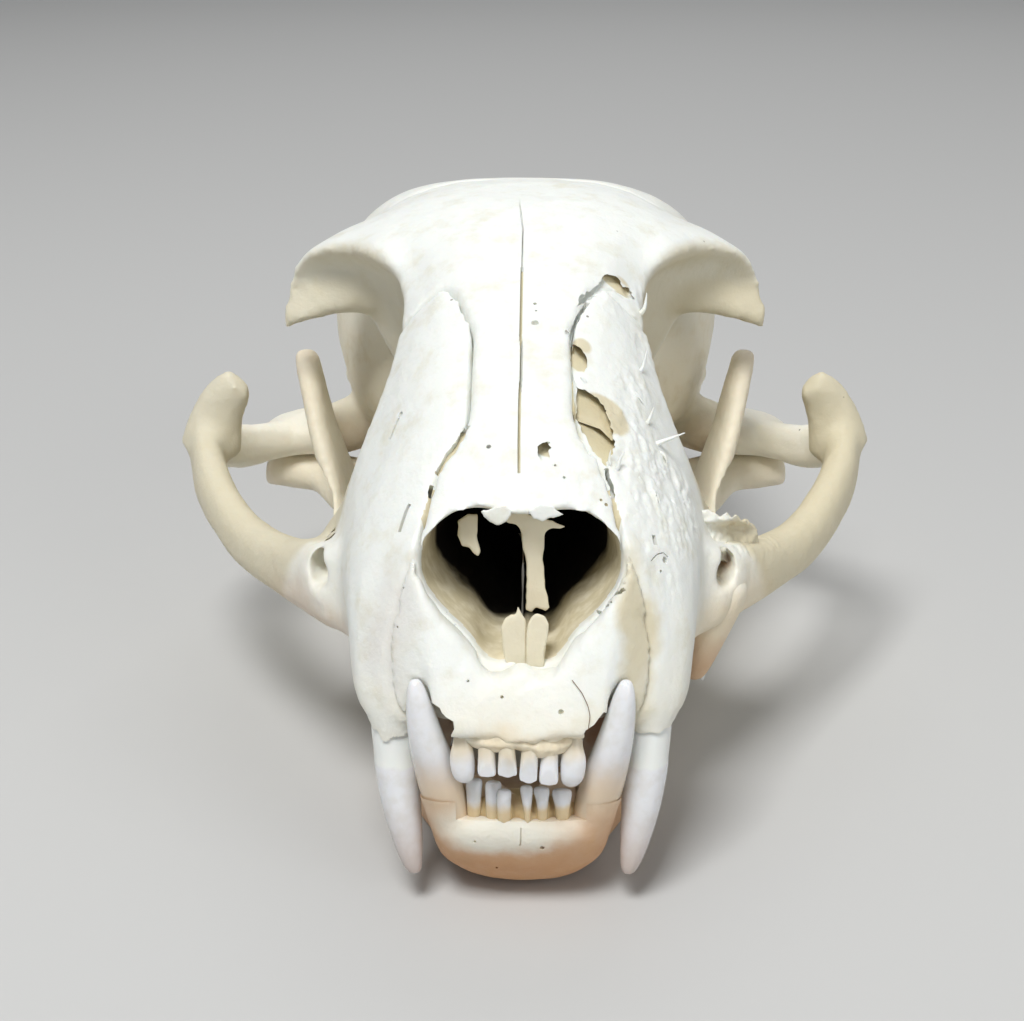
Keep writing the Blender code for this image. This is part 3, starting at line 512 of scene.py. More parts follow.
def joined(things):
    """One object of them all."""
    only(things[0])
    for thing in things:
        thing.select_set(True)
    if len(things) > 1:
        bpy.ops.object.join()
    return things[0]


def melted(things, grain, iterations=3):
    """The shapes grown into one smooth skin."""
    whole = joined(things)
    apply(whole, "REMESH", mode="VOXEL", voxel_size=grain)
    return apply(whole, "SMOOTH", factor=0.5, iterations=iterations)


def held_inside(mesh):
    """Holds a mesh in metres inside the box of the solids."""
    low, high = CAD_BOX
    places = [value for corner in mesh.vertices for value in corner.co]
    mesh.vertices.foreach_set("co", [min(max(v, low[i % 3]), high[i % 3]) for i, v in enumerate(places)])
    mesh.update()


def finished(name, piece, slot, *materials, nodes=()):
    """Lays a piece down in metres, gives it its materials or its slot's bone, and ties it to the frame."""
    only(piece)
    piece.name = name
    settle()
    piece.data.transform(LAY)
    held_inside(piece.data)
    bpy.ops.object.shade_smooth_by_angle(angle=math.radians(50))
    piece.data.materials.clear()
    for material in materials or (bone(slot),):
        piece.data.materials.append(material)
    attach(piece, ROOT)
    if nodes:
        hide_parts(*nodes)
    return piece


def flat_shape(points):
    """A face with its corners at the points, as an object."""
    bpy.ops.object.select_all(action="DESELECT")
    bpy.ops.mesh.primitive_circle_add(vertices=len(points), fill_type="NGON")
    shape = bpy.context.object
    for corner, point in zip(shape.data.vertices, points):
        corner.co = point
    return shape


def extruded(shape, run):
    editing(shape)
    bpy.ops.mesh.extrude_region_move(TRANSFORM_OT_translate={"value": run})
    done_editing()
    return facing_out(shape)


def slab(outline, front, back):
    """A plate that fills an outline in pixels, between two distances back."""
    shape = flat_shape([deep(pixel, front) for pixel in outline])
    return extruded(shape, ray(outline[0]) * (back - front))


def plate(outline, start, thick):
    """A plate that fills an outline in pixels, from this far under the bone's surface."""
    middle = [sum(values) / len(outline) for values in zip(*outline)]
    far = (seen(middle)[0] - EYE).length
    points = []
    for pixel in outline:
        here = min(max((seen(pixel)[0] - EYE).length, far - PLATE_REACH), far + PLATE_REACH)
        points.append(EYE + ray(pixel) * (here + start))
    return extruded(flat_shape(points), ray(middle) * thick)


def plug(outline, depth):
    """What is broken out of the bone inside an outline in pixels."""
    return plate(outline, -PLUG_RISE, PLUG_RISE + depth)


def blade(pixels, width, rise, depth):
    """A thin strip along a line in pixels, standing in the bone, whose surface is evened along the line."""
    line = along(pixels, 5)
    found = [seen(pixel) for pixel in line]
    rows = []
    for i, pixel in enumerate(line):
        reach = min(4, i, len(line) - 1 - i)
        beside = found[i - reach:i + reach + 1]
        far = sum((place - EYE).length for place, _ in beside) / len(beside)
        normal = sum((normal for _, normal in beside), Vector()).normalized()
        rows.append((EYE + ray(pixel) * far, normal))
    points = [place + normal * rise for place, normal in rows]
    points += [place - normal * depth for place, normal in reversed(rows)]
    count = len(rows)
    faces = [(i, i + 1, 2 * count - 2 - i, 2 * count - 1 - i) for i in range(count - 1)]
    mesh = bpy.data.meshes.new("blade")
    mesh.from_pydata(points, [], faces)
    return facing_out(apply(placed("blade", mesh), "SOLIDIFY", thickness=width, offset=0.0))


def pit(pixel, radius, depth):
    place, normal = seen(pixel)
    bpy.ops.object.select_all(action="DESELECT")
    bpy.ops.mesh.primitive_ico_sphere_add(subdivisions=2, radius=1, location=place)
    drill = bpy.context.object
    drill.scale = (radius, radius, depth)
    drill.rotation_euler = normal.to_track_quat("Z", "Y").to_euler()
    settle()
    return drill


def wire(points, widths):
    """A bent round rod through the points, closed at both ends."""
    line = bpy.data.curves.new("wire", "CURVE")
    line.dimensions = "3D"
    line.bevel_depth = 1.0
    line.bevel_resolution = 2
    line.use_fill_caps = True
    path = line.splines.new("NURBS")
    path.points.add(len(points) - 1)
    path.order_u = 3
    path.resolution_u = 5
    path.use_endpoint_u = True
    for knot, point, width in zip(path.points, points, widths):
        knot.co = (*point, 1)
        knot.radius = width / 2
    only(placed("wire", line))
    bpy.ops.object.convert(target="MESH")
    rod = bpy.context.object
    editing(rod)
    bpy.ops.mesh.remove_doubles(threshold=0.0001)
    done_editing()
    return facing_out(rod)


def egg(centre, radii, rings=12):
    bpy.ops.object.select_all(action="DESELECT")
    bpy.ops.mesh.primitive_uv_sphere_add(segments=2 * rings, ring_count=rings, radius=1, location=centre)
    shape = bpy.context.object
    shape.scale = radii
    settle()
    return shape


def box(low, high):
    low, high = Vector(low), Vector(high)
    bpy.ops.object.select_all(action="DESELECT")
    bpy.ops.mesh.primitive_cube_add(size=1, location=(low + high) / 2, scale=high - low)
    settle()
    return bpy.context.object


def cut(skin, tools):
    """Takes the tools out of a skin one by one, and removes them."""
    before = len(skin.data.vertices)
    for tool in tools:
        apply(skin, "BOOLEAN", operation="DIFFERENCE", solver="MANIFOLD", object=tool)
        bpy.data.objects.remove(tool)
    if len(skin.data.vertices) == before:
        raise RuntimeError(f"nothing was cut from {skin.name}")
    return skin


def skin_of(nodes, grain, swell):
    """A smooth fine skin over a copy of a solid, or over several grown together."""
    copies = []
    for node in nodes:
        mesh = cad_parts[node].data.copy()
        mesh.transform(UNLAY)
        copy = placed(node + "_skin", mesh)
        editing(copy)
        bpy.ops.mesh.remove_doubles(threshold=0.001)
        done_editing()
        copies.append(copy)
    skin = joined(copies)
    if len(nodes) == 1:
        apply(skin, "SUBSURF", levels=2, render_levels=2)
        apply(skin, "REMESH", mode="VOXEL", voxel_size=grain)
        apply(skin, "SMOOTH", factor=0.5, iterations=5)
        return apply(skin, "DISPLACE", strength=swell, mid_level=0.0)
    apply(skin, "DISPLACE", strength=BRIDGE, mid_level=0.0)
    apply(skin, "REMESH", mode="VOXEL", voxel_size=grain * 2)
    apply(skin, "SMOOTH", factor=0.5, iterations=3)
    apply(skin, "SUBSURF", levels=1, render_levels=1)
    return apply(skin, "DISPLACE", strength=swell - BRIDGE + WORN, mid_level=0.0)


def shifted(skin, rise):
    """Moves each point of a skin along its normal by what rise gives for its place."""
    moved = [corner.co + corner.normal * rise(corner.co) for corner in skin.data.vertices]
    skin.data.vertices.foreach_set("co", [value for place in moved for value in place])
    skin.data.update()
    return skin


def frayed():
    """A rise that makes ridges down the bone, round the places of FRAYS."""
    places = [(seen(pixel)[0], reach, most) for pixel, reach, most in FRAYS]
    low, high_up = (seen(pixel)[0] for pixel in FRAY_RUN)
    grain = (low - high_up).normalized()

    def rise(place):
        high = 0.0
        for middle, reach, most in places:
            far = (place - middle).length / reach
            if far < 1:
                high = max(high, most * (1 - far * far) ** 0.7)
        if not high:
            return 0.0
        across = place - grain * (place.dot(grain) * 0.62)
        ridge = noise.ridged_multi_fractal(across * 0.9, 0.6, 2.1, 5, 0.9, 1.8) - 0.75
        return high * (0.5 * ridge + 0.2 * noise.noise(place * 2.4))

    return rise


def drawn(rows, sides=14, levels=2):
    """A shape drawn out of a circle, section by section. A row is its middle, width and depth."""
    bpy.ops.object.select_all(action="DESELECT")
    here, (wide, thick) = Vector(rows[0][:3]), rows[0][3:]
    bpy.ops.mesh.primitive_circle_add(vertices=sides, radius=0.5, fill_type="NGON", location=here)
    shape = bpy.context.object
    editing(shape)
    bpy.ops.transform.resize(value=(wide, thick, 1), center_override=here)
    for before, after in zip(rows, rows[1:]):
        there = Vector(after[:3])
        bpy.ops.mesh.extrude_region_move(TRANSFORM_OT_translate={"value": there - here})
        grow = (after[3] / before[3], after[4] / before[4], 1)
        bpy.ops.transform.resize(value=grow, center_override=there)
        here = there
    done_editing()
    facing_out(shape)
    settle()
    return apply(shape, "SUBSURF", levels=levels, render_levels=levels)


def cheek_tooth(centre, length, wide, cusps, down, mirror):
    """A blade of pointed cusps on a swollen root, turned to lie along the row."""
    pieces = [egg((0, 0, 0), (wide / 2 + 0.1, length / 2 + 0.1, 2.0))]
    for number, high in enumerate(cusps):
        place = length * ((number + 0.5) / len(cusps) - 0.5)
        thick = length / len(cusps) * 1.2
        across = min(wide, thick)
        pieces.append(drawn((
            (0, place, -down * 1.3, across, thick),
            (0, place, down * high * 0.2, across, thick * 0.95),
            (0, place * 0.97, down * high * 0.6, across * 0.62, thick * 0.56),
            (0, place * 0.94, down * high * 0.93, 0.5, 0.6),
            (0, place * 0.94, down * (high + 0.12), 0.3, 0.35),
        ), sides=12, levels=1))
    tooth = melted(pieces, FINE_GRAIN)
    turn = Matrix.Rotation(ROW_TURN * mirror, 4, "Z")
    tooth.data.transform(Matrix.Translation((centre[0] * mirror, *centre[1:])) @ turn)
    return tooth


def canine(rows, mirror):
    return drawn([(mirror * row[0], *row[1:]) for row in rows])


def cheek_row(jaw, mirror):
    down = -1 if jaw == "upper" else 1
    rows = UPPER_CHEEK if jaw == "upper" else LOWER_CHEEK
    lost = LOST_CHEEK_TOOTH if jaw == "upper" and mirror < 0 else None
    return [cheek_tooth(*row, down, mirror) for number, row in enumerate(rows) if number != lost]


def sockets(jaw, mirror):
    """Rooms for the teeth of one side, a little wider than the teeth."""
    rooms = [canine(UPPER_CANINE if jaw == "upper" else LOWER_CANINE[2:], mirror), *cheek_row(jaw, mirror)]
    for room in rooms:
        apply(room, "DISPLACE", strength=SOCKET, mid_level=0.0)
    if jaw == "lower":
        across, (front, back), (low, high) = JAW_ROOM
        left, right = sorted(value * mirror for value in across)
        rooms.append(box((left, front, low), (right, back, high)))
    return rooms


def fill(node, inputs):
    """Sets the inputs of a shader node, and links those that are given a socket."""
    for slot, value in inputs.items():
        if isinstance(value, bpy.types.NodeSocket):
            node.id_data.links.new(value, node.inputs[slot])
        else:
            node.inputs[slot].default_value = value
    return node


def add(tree, kind, inputs=None, **settings):
    """A shader node with its settings, and its inputs filled."""
    made = tree.nodes.new(kind)
    for name, value in settings.items():
        setattr(made, name, value)
    return fill(made, inputs or {})


def spot(tree):
    """The shaded place in millimetres along the tooth rows."""
    place = add(tree, "ShaderNodeTexCoord").outputs["Object"]
    return add(tree, "ShaderNodeMapping", {
        "Vector": place, "Location": UNLAY.translation, "Rotation": (REST_TILT, 0, 0), "Scale": (1 / MM,) * 3,
    }).outputs[0]


def mixed(tree, share, below, above):
    """The colour above laid over the colour below by a share from 0 to 1."""
    return add(tree, "ShaderNodeMix", {0: share, 6: below, 7: above}, data_type="RGBA").outputs[2]


def ramp(tree, value, start, end, low=0.0, high=1.0):
    """Value between start and end, as a smooth step from low to high."""
    return add(
        tree, "ShaderNodeMapRange",
        {"Value": value, "From Min": start, "From Max": end, "To Min": low, "To Max": high},
        interpolation_type="SMOOTHSTEP",
    ).outputs[0]


def noisy(tree, place, per_mm, detail, roughness=0.5, output=0):
    return add(
        tree, "ShaderNodeTexNoise",
        {"Vector": place, "Scale": per_mm, "Detail": detail, "Roughness": roughness},
    ).outputs[output]


def math_of(tree, operation, *values):
    return add(tree, "ShaderNodeMath", dict(enumerate(values)), operation=operation).outputs[0]


def vector_of(tree, operation, *values, output=0):
    return add(tree, "ShaderNodeVectorMath", dict(enumerate(values)), operation=operation).outputs[output]


def patch(tree, place, centre, radii, soft, share):
    """Share inside an egg round a centre, fading to nothing across its edge."""
    off = vector_of(tree, "DIVIDE", vector_of(tree, "SUBTRACT", place, centre), radii)
    far = vector_of(tree, "LENGTH", off, output="Value")
    return ramp(tree, far, 1 + soft, 1 - soft, 0.0, share)


def started(name):
    """A material with its nodes, its shader and the place in millimetres."""
    material = bpy.data.materials.new(name)
    material.use_nodes = True
    return material, material.node_tree, material.node_tree.nodes["Principled BSDF"], spot(material.node_tree)


def soft_glow(shader, weight, radius, scale):
    fill(shader, {"Subsurface Weight": weight, "Subsurface Radius": radius, "Subsurface Scale": scale * MM})


def bone_material(name, base, patches):
    """Dry bone: a base colour with soft patches, faint mottling, pin holes and a fine tooth."""
    material, tree, shader, place = started(name)
    shades = colours()
    drift = noisy(tree, place, 0.22, 4, output="Color")
    loose = vector_of(tree, "MULTIPLY_ADD", drift, (DRIFT,) * 3, place)
    loose = vector_of(tree, "SUBTRACT", loose, (DRIFT / 2,) * 3)
    mottle = noisy(tree, place, 0.4, 6, 0.6)
    dull = tuple(c * k for c, k in zip(shades[base], DULL))
    colour = mixed(tree, ramp(tree, mottle, 0.48, 0.75, 0.0, 0.7), shades[base], dull)
    for tint, centre, radii, soft, share in patches:
        where = loose if soft > 0.1 else place
        colour = mixed(tree, patch(tree, where, centre, radii, soft, share), colour, shades[tint])
    pores = add(tree, "ShaderNodeTexVoronoi", {"Vector": place, "Scale": PORES})
    rare = math_of(tree, "GREATER_THAN", add(
        tree, "ShaderNodeSeparateColor", {"Color": pores.outputs["Color"]}
    ).outputs[0], PORELESS)
    hole = math_of(tree, "MULTIPLY", ramp(tree, pores.outputs["Distance"], 0.06, 0.03), rare)
    colour = mixed(tree, math_of(tree, "MULTIPLY", hole, 0.8), colour, PORE)
    broad = noisy(tree, place, 0.7, 3)
    fine = noisy(tree, place, 3.2, 5, 0.65)
    low = add(tree, "ShaderNodeBump", {"Height": broad, "Strength": 0.35, "Distance": 0.35 * MM})
    top = add(tree, "ShaderNodeBump", {
        "Height": fine, "Strength": 0.4, "Distance": 0.1 * MM, "Normal": low.outputs[0],
    })
    fill(shader, {
        "Base Color": colour, "Normal": top.outputs[0], "Specular IOR Level": 0.35,
        "Roughness": ramp(tree, broad, 0.3, 0.7, 0.46, 0.64),
    })
    soft_glow(shader, 0.2, (1.0, 0.75, 0.5), 0.8)
    return material


def inside_material():
    """Inside of the nose: tan walls that turn black towards the back, as painted shade of the deep nose."""
    material, tree, shader, place = started("inside_nose")
    shades = colours()
    apart = add(tree, "ShaderNodeSeparateXYZ", {0: place})
    sway = noisy(tree, place, 0.5, 3)
    depth = math_of(tree, "MULTIPLY_ADD", sway, 2.4, apart.outputs["Y"])
    cloudy = ramp(tree, noisy(tree, place, 0.9, 4), 0.4, 0.7, 0.0, 0.6)
    walls = mixed(tree, cloudy, shades["tan"], shades["ivory"])
    colour = mixed(tree, ramp(tree, depth, 4.0, 9.0), shades["ivory"], walls)
    # Painted shade: the lining turns black towards the back of the nose
    colour = mixed(tree, ramp(tree, depth, PAINTED_SHADE_FROM, PAINTED_SHADE_TO), colour, shades["dark"])
    bump = add(tree, "ShaderNodeBump", {"Height": sway, "Strength": 0.4, "Distance": 0.3 * MM})
    fill(shader, {
        "Base Color": colour, "Normal": bump.outputs[0], "Specular IOR Level": 0.2,
        "Roughness": ramp(tree, depth, PAINTED_SHADE_FROM, PAINTED_SHADE_TO, 0.6, 0.95),
    })
    return material


def tooth_material(name, base, bands, gloss=0.1, glow=0.35):
    """Enamel with bands of colour over its height: colour, start, end and share."""
    material, tree, shader, place = started(name)
    shades = colours()
    sway = noisy(tree, place, 0.8, 2)
    apart = add(tree, "ShaderNodeSeparateXYZ", {0: place})
    high = math_of(tree, "MULTIPLY_ADD", sway, SWAY, apart.outputs["Z"])
    high = math_of(tree, "SUBTRACT", high, SWAY / 2)
    cloudy = noisy(tree, place, 0.9, 3)
    faint = tuple(c * k for c, k in zip(shades[base], FAINT))
    colour = mixed(tree, ramp(tree, cloudy, 0.4, 0.7), shades[base], faint)
    for tint, start, end, share in bands:
        colour = mixed(tree, ramp(tree, high, start, end, 0.0, share), colour, shades[tint])
    bump = add(tree, "ShaderNodeBump", {
        "Height": noisy(tree, place, 1.4, 3), "Strength": 0.12, "Distance": 0.12 * MM,
    })
    fill(shader, {
        "Base Color": colour, "Normal": bump.outputs[0],
        "Roughness": ramp(tree, cloudy, 0.3, 0.7, gloss, gloss + 0.12),
    })
    soft_glow(shader, glow, (1.0, 0.8, 0.65), 0.9)
    return material


class SkullSizes(bpy.types.PropertyGroup):
    swell: FloatProperty(
        name="Swell", description="How far a skin grows over its solid, in millimetres", default=0.12, min=0.0
    )
    uneven: FloatProperty(
        name="Unevenness", description="Height of the bone's waves, in millimetres", default=0.10, min=0.0
    )
    seed: IntProperty(name="Seed", description="Start of the chance in broken edges", default=7, min=0)
    hair: FloatProperty(
        name="Hair", description="Thickness of the stray hair, in millimetres", default=0.06, min=0.01
    )


def tint(name, description, colour):
    return FloatVectorProperty(
        name=name, description=description, default=colour, subtype="COLOR", min=0.0, max=1.0
    )


class SkullColours(bpy.types.PropertyGroup):
    white: tint("Bleached bone", "Brow, nose and cheeks", (0.83, 0.85, 0.81))
    ivory: tint("Ivory bone", "Arches and braincase", (0.85, 0.79, 0.63))
    tan: tint("Tan bone", "Eye sockets and inside of the nose", (0.64, 0.57, 0.39))
    # Stained bone; under the cheek arches the same colour is painted shade
    stain_and_shade: tint("Stained bone", "Chin and lower jaw", (0.55, 0.28, 0.12))
    # Brown bone is stain, and also painted shade inside the mouth and at the cheek's shelf
    brown: tint("Brown bone", "Inside of the mouth", (0.26, 0.11, 0.045))
    peach: tint("Peach bone", "Front of the lower jaw", (0.76, 0.62, 0.46))
    chalk: tint("Chalky edge", "Edge under the lower incisors", (0.82, 0.80, 0.70))
    amber: tint("Amber roots", "Roots of the lower incisors", (0.74, 0.57, 0.32))
    # Painted shade: the black at the far end of the nose
    dark: tint("Deep nose", "Far end of the nose", (0.008, 0.006, 0.005))
    enamel: tint("Enamel", "Crowns of the teeth", (0.80, 0.81, 0.83))
    neck: tint("Necks", "Necks of the incisors", (0.70, 0.60, 0.42))
    blush: tint("Rosy tint", "Tips of the upper canines", (0.47, 0.36, 0.30))
    hair: tint("Hair", "The stray hair on the lip", (0.06, 0.04, 0.02))
    floor: tint("Floor", "Plain floor", (0.55, 0.55, 0.54))


def colours():
    """The colours of the sidebar by name."""
    found = bpy.context.scene.skull_colours
    return {name: (*getattr(found, name), 1) for name in SkullColours.__annotations__}


def bone(slot):
    """The finish of bone for a slot, made once."""
    plans = {
        "bone_white": ("white", WHITE_PATCHES),
        "bone_ivory": ("ivory", IVORY_PATCHES),
        "bone_tan": ("tan", (("ivory", (0, 7, 8), (9, 7, 12), 0.2, 0.7),)),
        "bone_stained": ("peach", STAINED_PATCHES),
    }
    name = "skin_" + slot
    return bpy.data.materials.get(name) or bone_material(name, *plans[slot])


def in_nose(face):
    """Whether a face lines the room of the nose, so that it faces the room's middle."""
    x, y, z = face.center
    inward = face.normal.x * x + face.normal.z * (z - NOSE_MIDDLE) < 0
    level = abs(x) < NOSE_HALF and NOSE_LOW < z < NOSE_HIGH
    return inward and level and NOSE_MOUTH + NOSE_LEAN * z < y < NOSE_END


def dressed(rows, tools=None):
    """Skins over the nodes, cut by the tools that their first node's name has, as finished pieces."""
    sizes = bpy.context.scene.skull_sizes
    for nodes, slot, grain in rows:
        name = nodes[0]
        skin = skin_of(nodes, grain, sizes.swell)
        shifted(skin, lambda place: sizes.uneven * noise.noise(place / WAVE))
        if name in FRAYED:
            shifted(skin, frayed())
        if tools and name in tools:
            cut(skin, marks_of(nodes) + tools[name]())
        # Faces that line the nose take the nose's lining, with its painted shade at the back
        lining = [int(in_nose(face)) for face in skin.data.polygons]
        materials = [bone(slot)]
        if any(lining):
            materials.append(bpy.data.materials.get("inside_nose") or inside_material())
        finished(name + "_skin", skin, slot, *materials, nodes=nodes)
        if any(lining):
            skin.data.polygons.foreach_set("material_index", lining)
            skin.data.update()


def near(reach, pixel):
    """Whether the bone at a pixel lies in a node's box."""
    place, _ = seen(pixel)
    return all(
        low - MARK_REACH < value < high + MARK_REACH for low, value, high in zip(reach[0], place, reach[1])
    )


def marks_of(nodes):
    """Cracks and pits that lie on the nodes."""
    corners = [UNLAY @ corner.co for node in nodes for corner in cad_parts[node].data.vertices]
    reach = [min(c[i] for c in corners) for i in range(3)], [max(c[i] for c in corners) for i in range(3)]
    cracks = [row for row in CRACKS if near(reach, row[0][len(row[0]) // 2])]
    tools = [blade(line, width, CRACK_RISE, depth) for line, width, depth in cracks]
    return tools + [pit(*row) for row in PITS if near(reach, row[0])]


def breaks():
    chance = random.Random(bpy.context.scene.skull_sizes.seed)
    return [plug(ragged(outline, 3, shake, chance), depth) for outline, depth, shake in BREAKS]


class SKULL_OT_vault(bpy.types.Operator):
    """Lays bone over the braincase, the brow and the nose"""
    bl_idname = "skull.vault"
    bl_label = "Vault"

    def execute(self, context):
        dressed(VAULT, {"frontal": breaks})
        return {"FINISHED"}


class SKULL_OT_nose(bpy.types.Operator):
    """Builds the broken wall, the tongues and the ragged tips of the nose"""
    bl_idname = "skull.nose"
    bl_label = "Nose"

    def execute(self, context):
        chance = random.Random(context.scene.skull_sizes.seed)
        wall = melted([slab(ragged(SEPTUM[0], 4, 0.6, chance), *SEPTUM[1:])], FINE_GRAIN, 4)
        tongues = [
            melted([slab(*tongue), egg(deep(pixel, back), radii)], FINE_GRAIN, 8)
            for tongue, (pixel, back, radii) in zip(TONGUES, TONGUE_SWELLS)
        ]
        finished("nose_wall", joined([wall, *tongues]), "bone_tan", nodes=("nasal_septum",))
        scroll = slab(ragged(SCROLL[0], 5, 0.5, chance), *SCROLL[1:])
        finished("nose_scroll", melted([scroll], FINE_GRAIN, 5), "bone_tan")
        tips = [slab(ragged(outline, 3, 0.9, chance), *TIP_DEPTHS) for outline in NASAL_TIPS]
        finished("nose_tips", melted(tips, TIP_GRAIN, 2), "bone_white")
        # Tan floors in the midline crack and the open seam: painted shade at their bottoms
        floors = [blade(line, *SEAM_FLOOR) for line in (MIDLINE, OPEN_SEAM)]
        finished("seam_floors", joined(floors), "bone_tan")
        return {"FINISHED"}


class SKULL_OT_cheeks(bpy.types.Operator):
    """Lays bone over the cheeks and their arches, with the frayed break on one side"""
    bl_idname = "skull.cheeks"
    bl_label = "Cheeks"

    def execute(self, context):
        dressed(CHEEKS, {
            "maxilla_left": lambda: breaks() + sockets("upper", 1),
            "maxilla_right": lambda: sockets("upper", -1),
        })
        splinters = []
        for root, middle, tip, width, out in SPLINTERS:
            place, normal = seen(root)
            far, lift = (place - EYE).length, normal * out
            bend, end = EYE + ray(middle) * far + lift * 0.5, EYE + ray(tip) * far + lift
            points = (place - normal * 0.4, place + normal * 0.1, bend, end)
            splinters.append(wire(points, (width * 1.6, width, width * 0.7, width * 0.2)))
        chance = random.Random(context.scene.skull_sizes.seed)
        outline, front, back = ragged(CREST[0], 4, 1.0, chance), *CREST[1:]
        face = [deep(pixel, front + max(0, pixel[0] - CREST_BEND) * CREST_SLOPE) for pixel in outline]
        crest = melted([extruded(flat_shape(face), ray(outline[0]) * (back - front))], ROOT_GRAIN, 5)
        shifted(crest, lambda place: 0.16 * noise.noise(place * 2.0))
        finished("splinters", joined([*splinters, crest]), "bone_white")
        finished("cheek_shelf", melted([drawn(SHELF)], SHELF_GRAIN, 6), "bone_white")
        plates = [plate(outline, start, INNER_THICK) for outline, start in INNER_PLATES]
        finished("inner_plates", joined(plates), "bone_tan")
        return {"FINISHED"}


class SKULL_OT_mouth(bpy.types.Operator):
    """Lays bone over the lip and the two halves of the jaw, with a stray hair on the lip"""
    bl_idname = "skull.mouth"
    bl_label = "Lip and jaw"

    def execute(self, context):
        dressed(MOUTH, {
            "premaxilla": lambda: [*[slab(outline, *GAP_DEPTHS) for outline in LIP_GAPS], box(*LIP_ROOM)],
            "mandible_left": lambda: sockets("lower", 1) + sockets("lower", -1),
        })
        edge = melted([wire(LIP_EDGE, LIP_WIDTHS)], FINE_GRAIN, 3)
        shifted(edge, lambda place: 0.14 * noise.noise(place * 1.7))
        backs = [slab(outline, *WALL_DEPTHS) for outline in LIP_GAPS]
        finished("lip_edge", joined([edge, *backs]), "bone_white")
        line = [place + normal * HAIR_LIFT for place, normal in map(seen, along(HAIR, 6))]
        hair, tree, shader, place = started("hair")
        cloudy = noisy(tree, place, 2.0, 2)
        strand = mixed(tree, cloudy, colours()["hair"], colours()["brown"])
        fill(shader, {"Base Color": strand, "Roughness": 0.4})
        thick = context.scene.skull_sizes.hair
        finished("hair", wire(line, [thick] * len(line)), "bone_tan", hair)
        return {"FINISHED"}


class SKULL_OT_ears(bpy.types.Operator):
    """Lays bone over the bubbles round the ears"""
    bl_idname = "skull.ears"
    bl_label = "Ears"

    def execute(self, context):
        dressed(EARS)
        return {"FINISHED"}


class SKULL_OT_canines(bpy.types.Operator):
    """Draws out the four canine teeth"""
    bl_idname = "skull.canines"
    bl_label = "Canines"

    def execute(self, context):
        upper = tooth_material("enamel_upper", "enamel", UPPER_BANDS)
        lower = tooth_material("enamel_lower", "enamel", LOWER_BANDS)
        for side, mirror in SIDES:
            finished("upper_canine_" + side, canine(UPPER_CANINE, mirror), "tooth_enamel", upper)
            finished("lower_canine_" + side, canine(LOWER_CANINE, mirror), "tooth_enamel", lower)
        return {"FINISHED"}


class SKULL_OT_cheek_teeth(bpy.types.Operator):
    """Builds the cutting teeth of both rows"""
    bl_idname = "skull.cheek_teeth"
    bl_label = "Cheek teeth"

    def execute(self, context):
        enamel = tooth_material("enamel_cheek", "enamel", ())
        for jaw in ("upper", "lower"):
            for side, mirror in SIDES:
                finished(f"{jaw}_cheek_teeth_{side}", joined(cheek_row(jaw, mirror)), "tooth_enamel", enamel)
        return {"FINISHED"}


class SKULL_OT_incisors(bpy.types.Operator):
    """Draws out the small front teeth and the amber roots of the lower ones"""
    bl_idname = "skull.incisors"
    bl_label = "Incisors"

    def execute(self, context):
        upper, lower, roots = [], [], []
        for neck, neck_z, wide, wide_z, tip, tip_z, neck_wide, bulge, back in UPPER_INCISORS:
            front = back - 0.35
            waist, waist_z = (neck + wide) / 2, (neck_z + wide_z) / 2
            crown, crown_z = (wide + tip) / 2, (wide_z + tip_z * 2) / 3
            upper.append(drawn((
                (neck, back + 0.8, neck_z + 2.0, neck_wide, 1.3),
                (neck, back + 0.1, neck_z + 0.2, neck_wide, 1.25),
                (waist, back - 0.15, waist_z, neck_wide * 1.02, 1.4),
                (wide, front, wide_z, bulge, 1.6),
                (crown, front, crown_z, bulge * 0.92, 1.4),
                (tip, front + 0.1, tip_z + 0.25, bulge * 0.66, 0.95),
                (tip, front + 0.15, tip_z, bulge * 0.3, 0.5),
            ), sides=12))
        for edge, edge_z, neck, neck_z, wide, neck_wide, back in LOWER_INCISORS:
            waist, waist_z = (neck + edge) / 2, (neck_z + edge_z) / 2
            lower.append(drawn((
                (neck, back + 0.5, -8.6, neck_wide, 1.0), (neck, back + 0.1, neck_z, neck_wide, 1.05),
                (waist, back, waist_z, (neck_wide + wide) / 2, 1.15), (edge, back, edge_z - 0.45, wide, 1.0),
                (edge, back, edge_z - 0.1, wide * 0.9, 0.7), (edge, back, edge_z, wide * 0.6, 0.45),
            ), sides=12))
            roots.append(drawn((
                (neck, back + 0.9, -9.4, 1.5, 1.6), (neck, back + 0.75, -7.4, 1.5, 1.5),
                (neck, back + 0.6, neck_z + 0.1, 1.25, 1.2), (neck, back + 0.6, neck_z + 0.5, 0.8, 0.8),
            ), sides=12, levels=1))
        roots.append(egg(*ROOT_BED))
        front = tooth_material("enamel_front", "enamel", FRONT_BANDS)
        finished("upper_incisors", joined(upper), "tooth_enamel", front)
        small = tooth_material("enamel_small", "enamel", SMALL_BANDS)
        finished("lower_incisors", joined(lower), "tooth_enamel", small)
        root = tooth_material("root_amber", "amber", ROOT_BANDS, gloss=0.4, glow=0.5)
        finished("incisor_roots", melted(roots, ROOT_GRAIN, 3), "bone_stained", root)
        return {"FINISHED"}


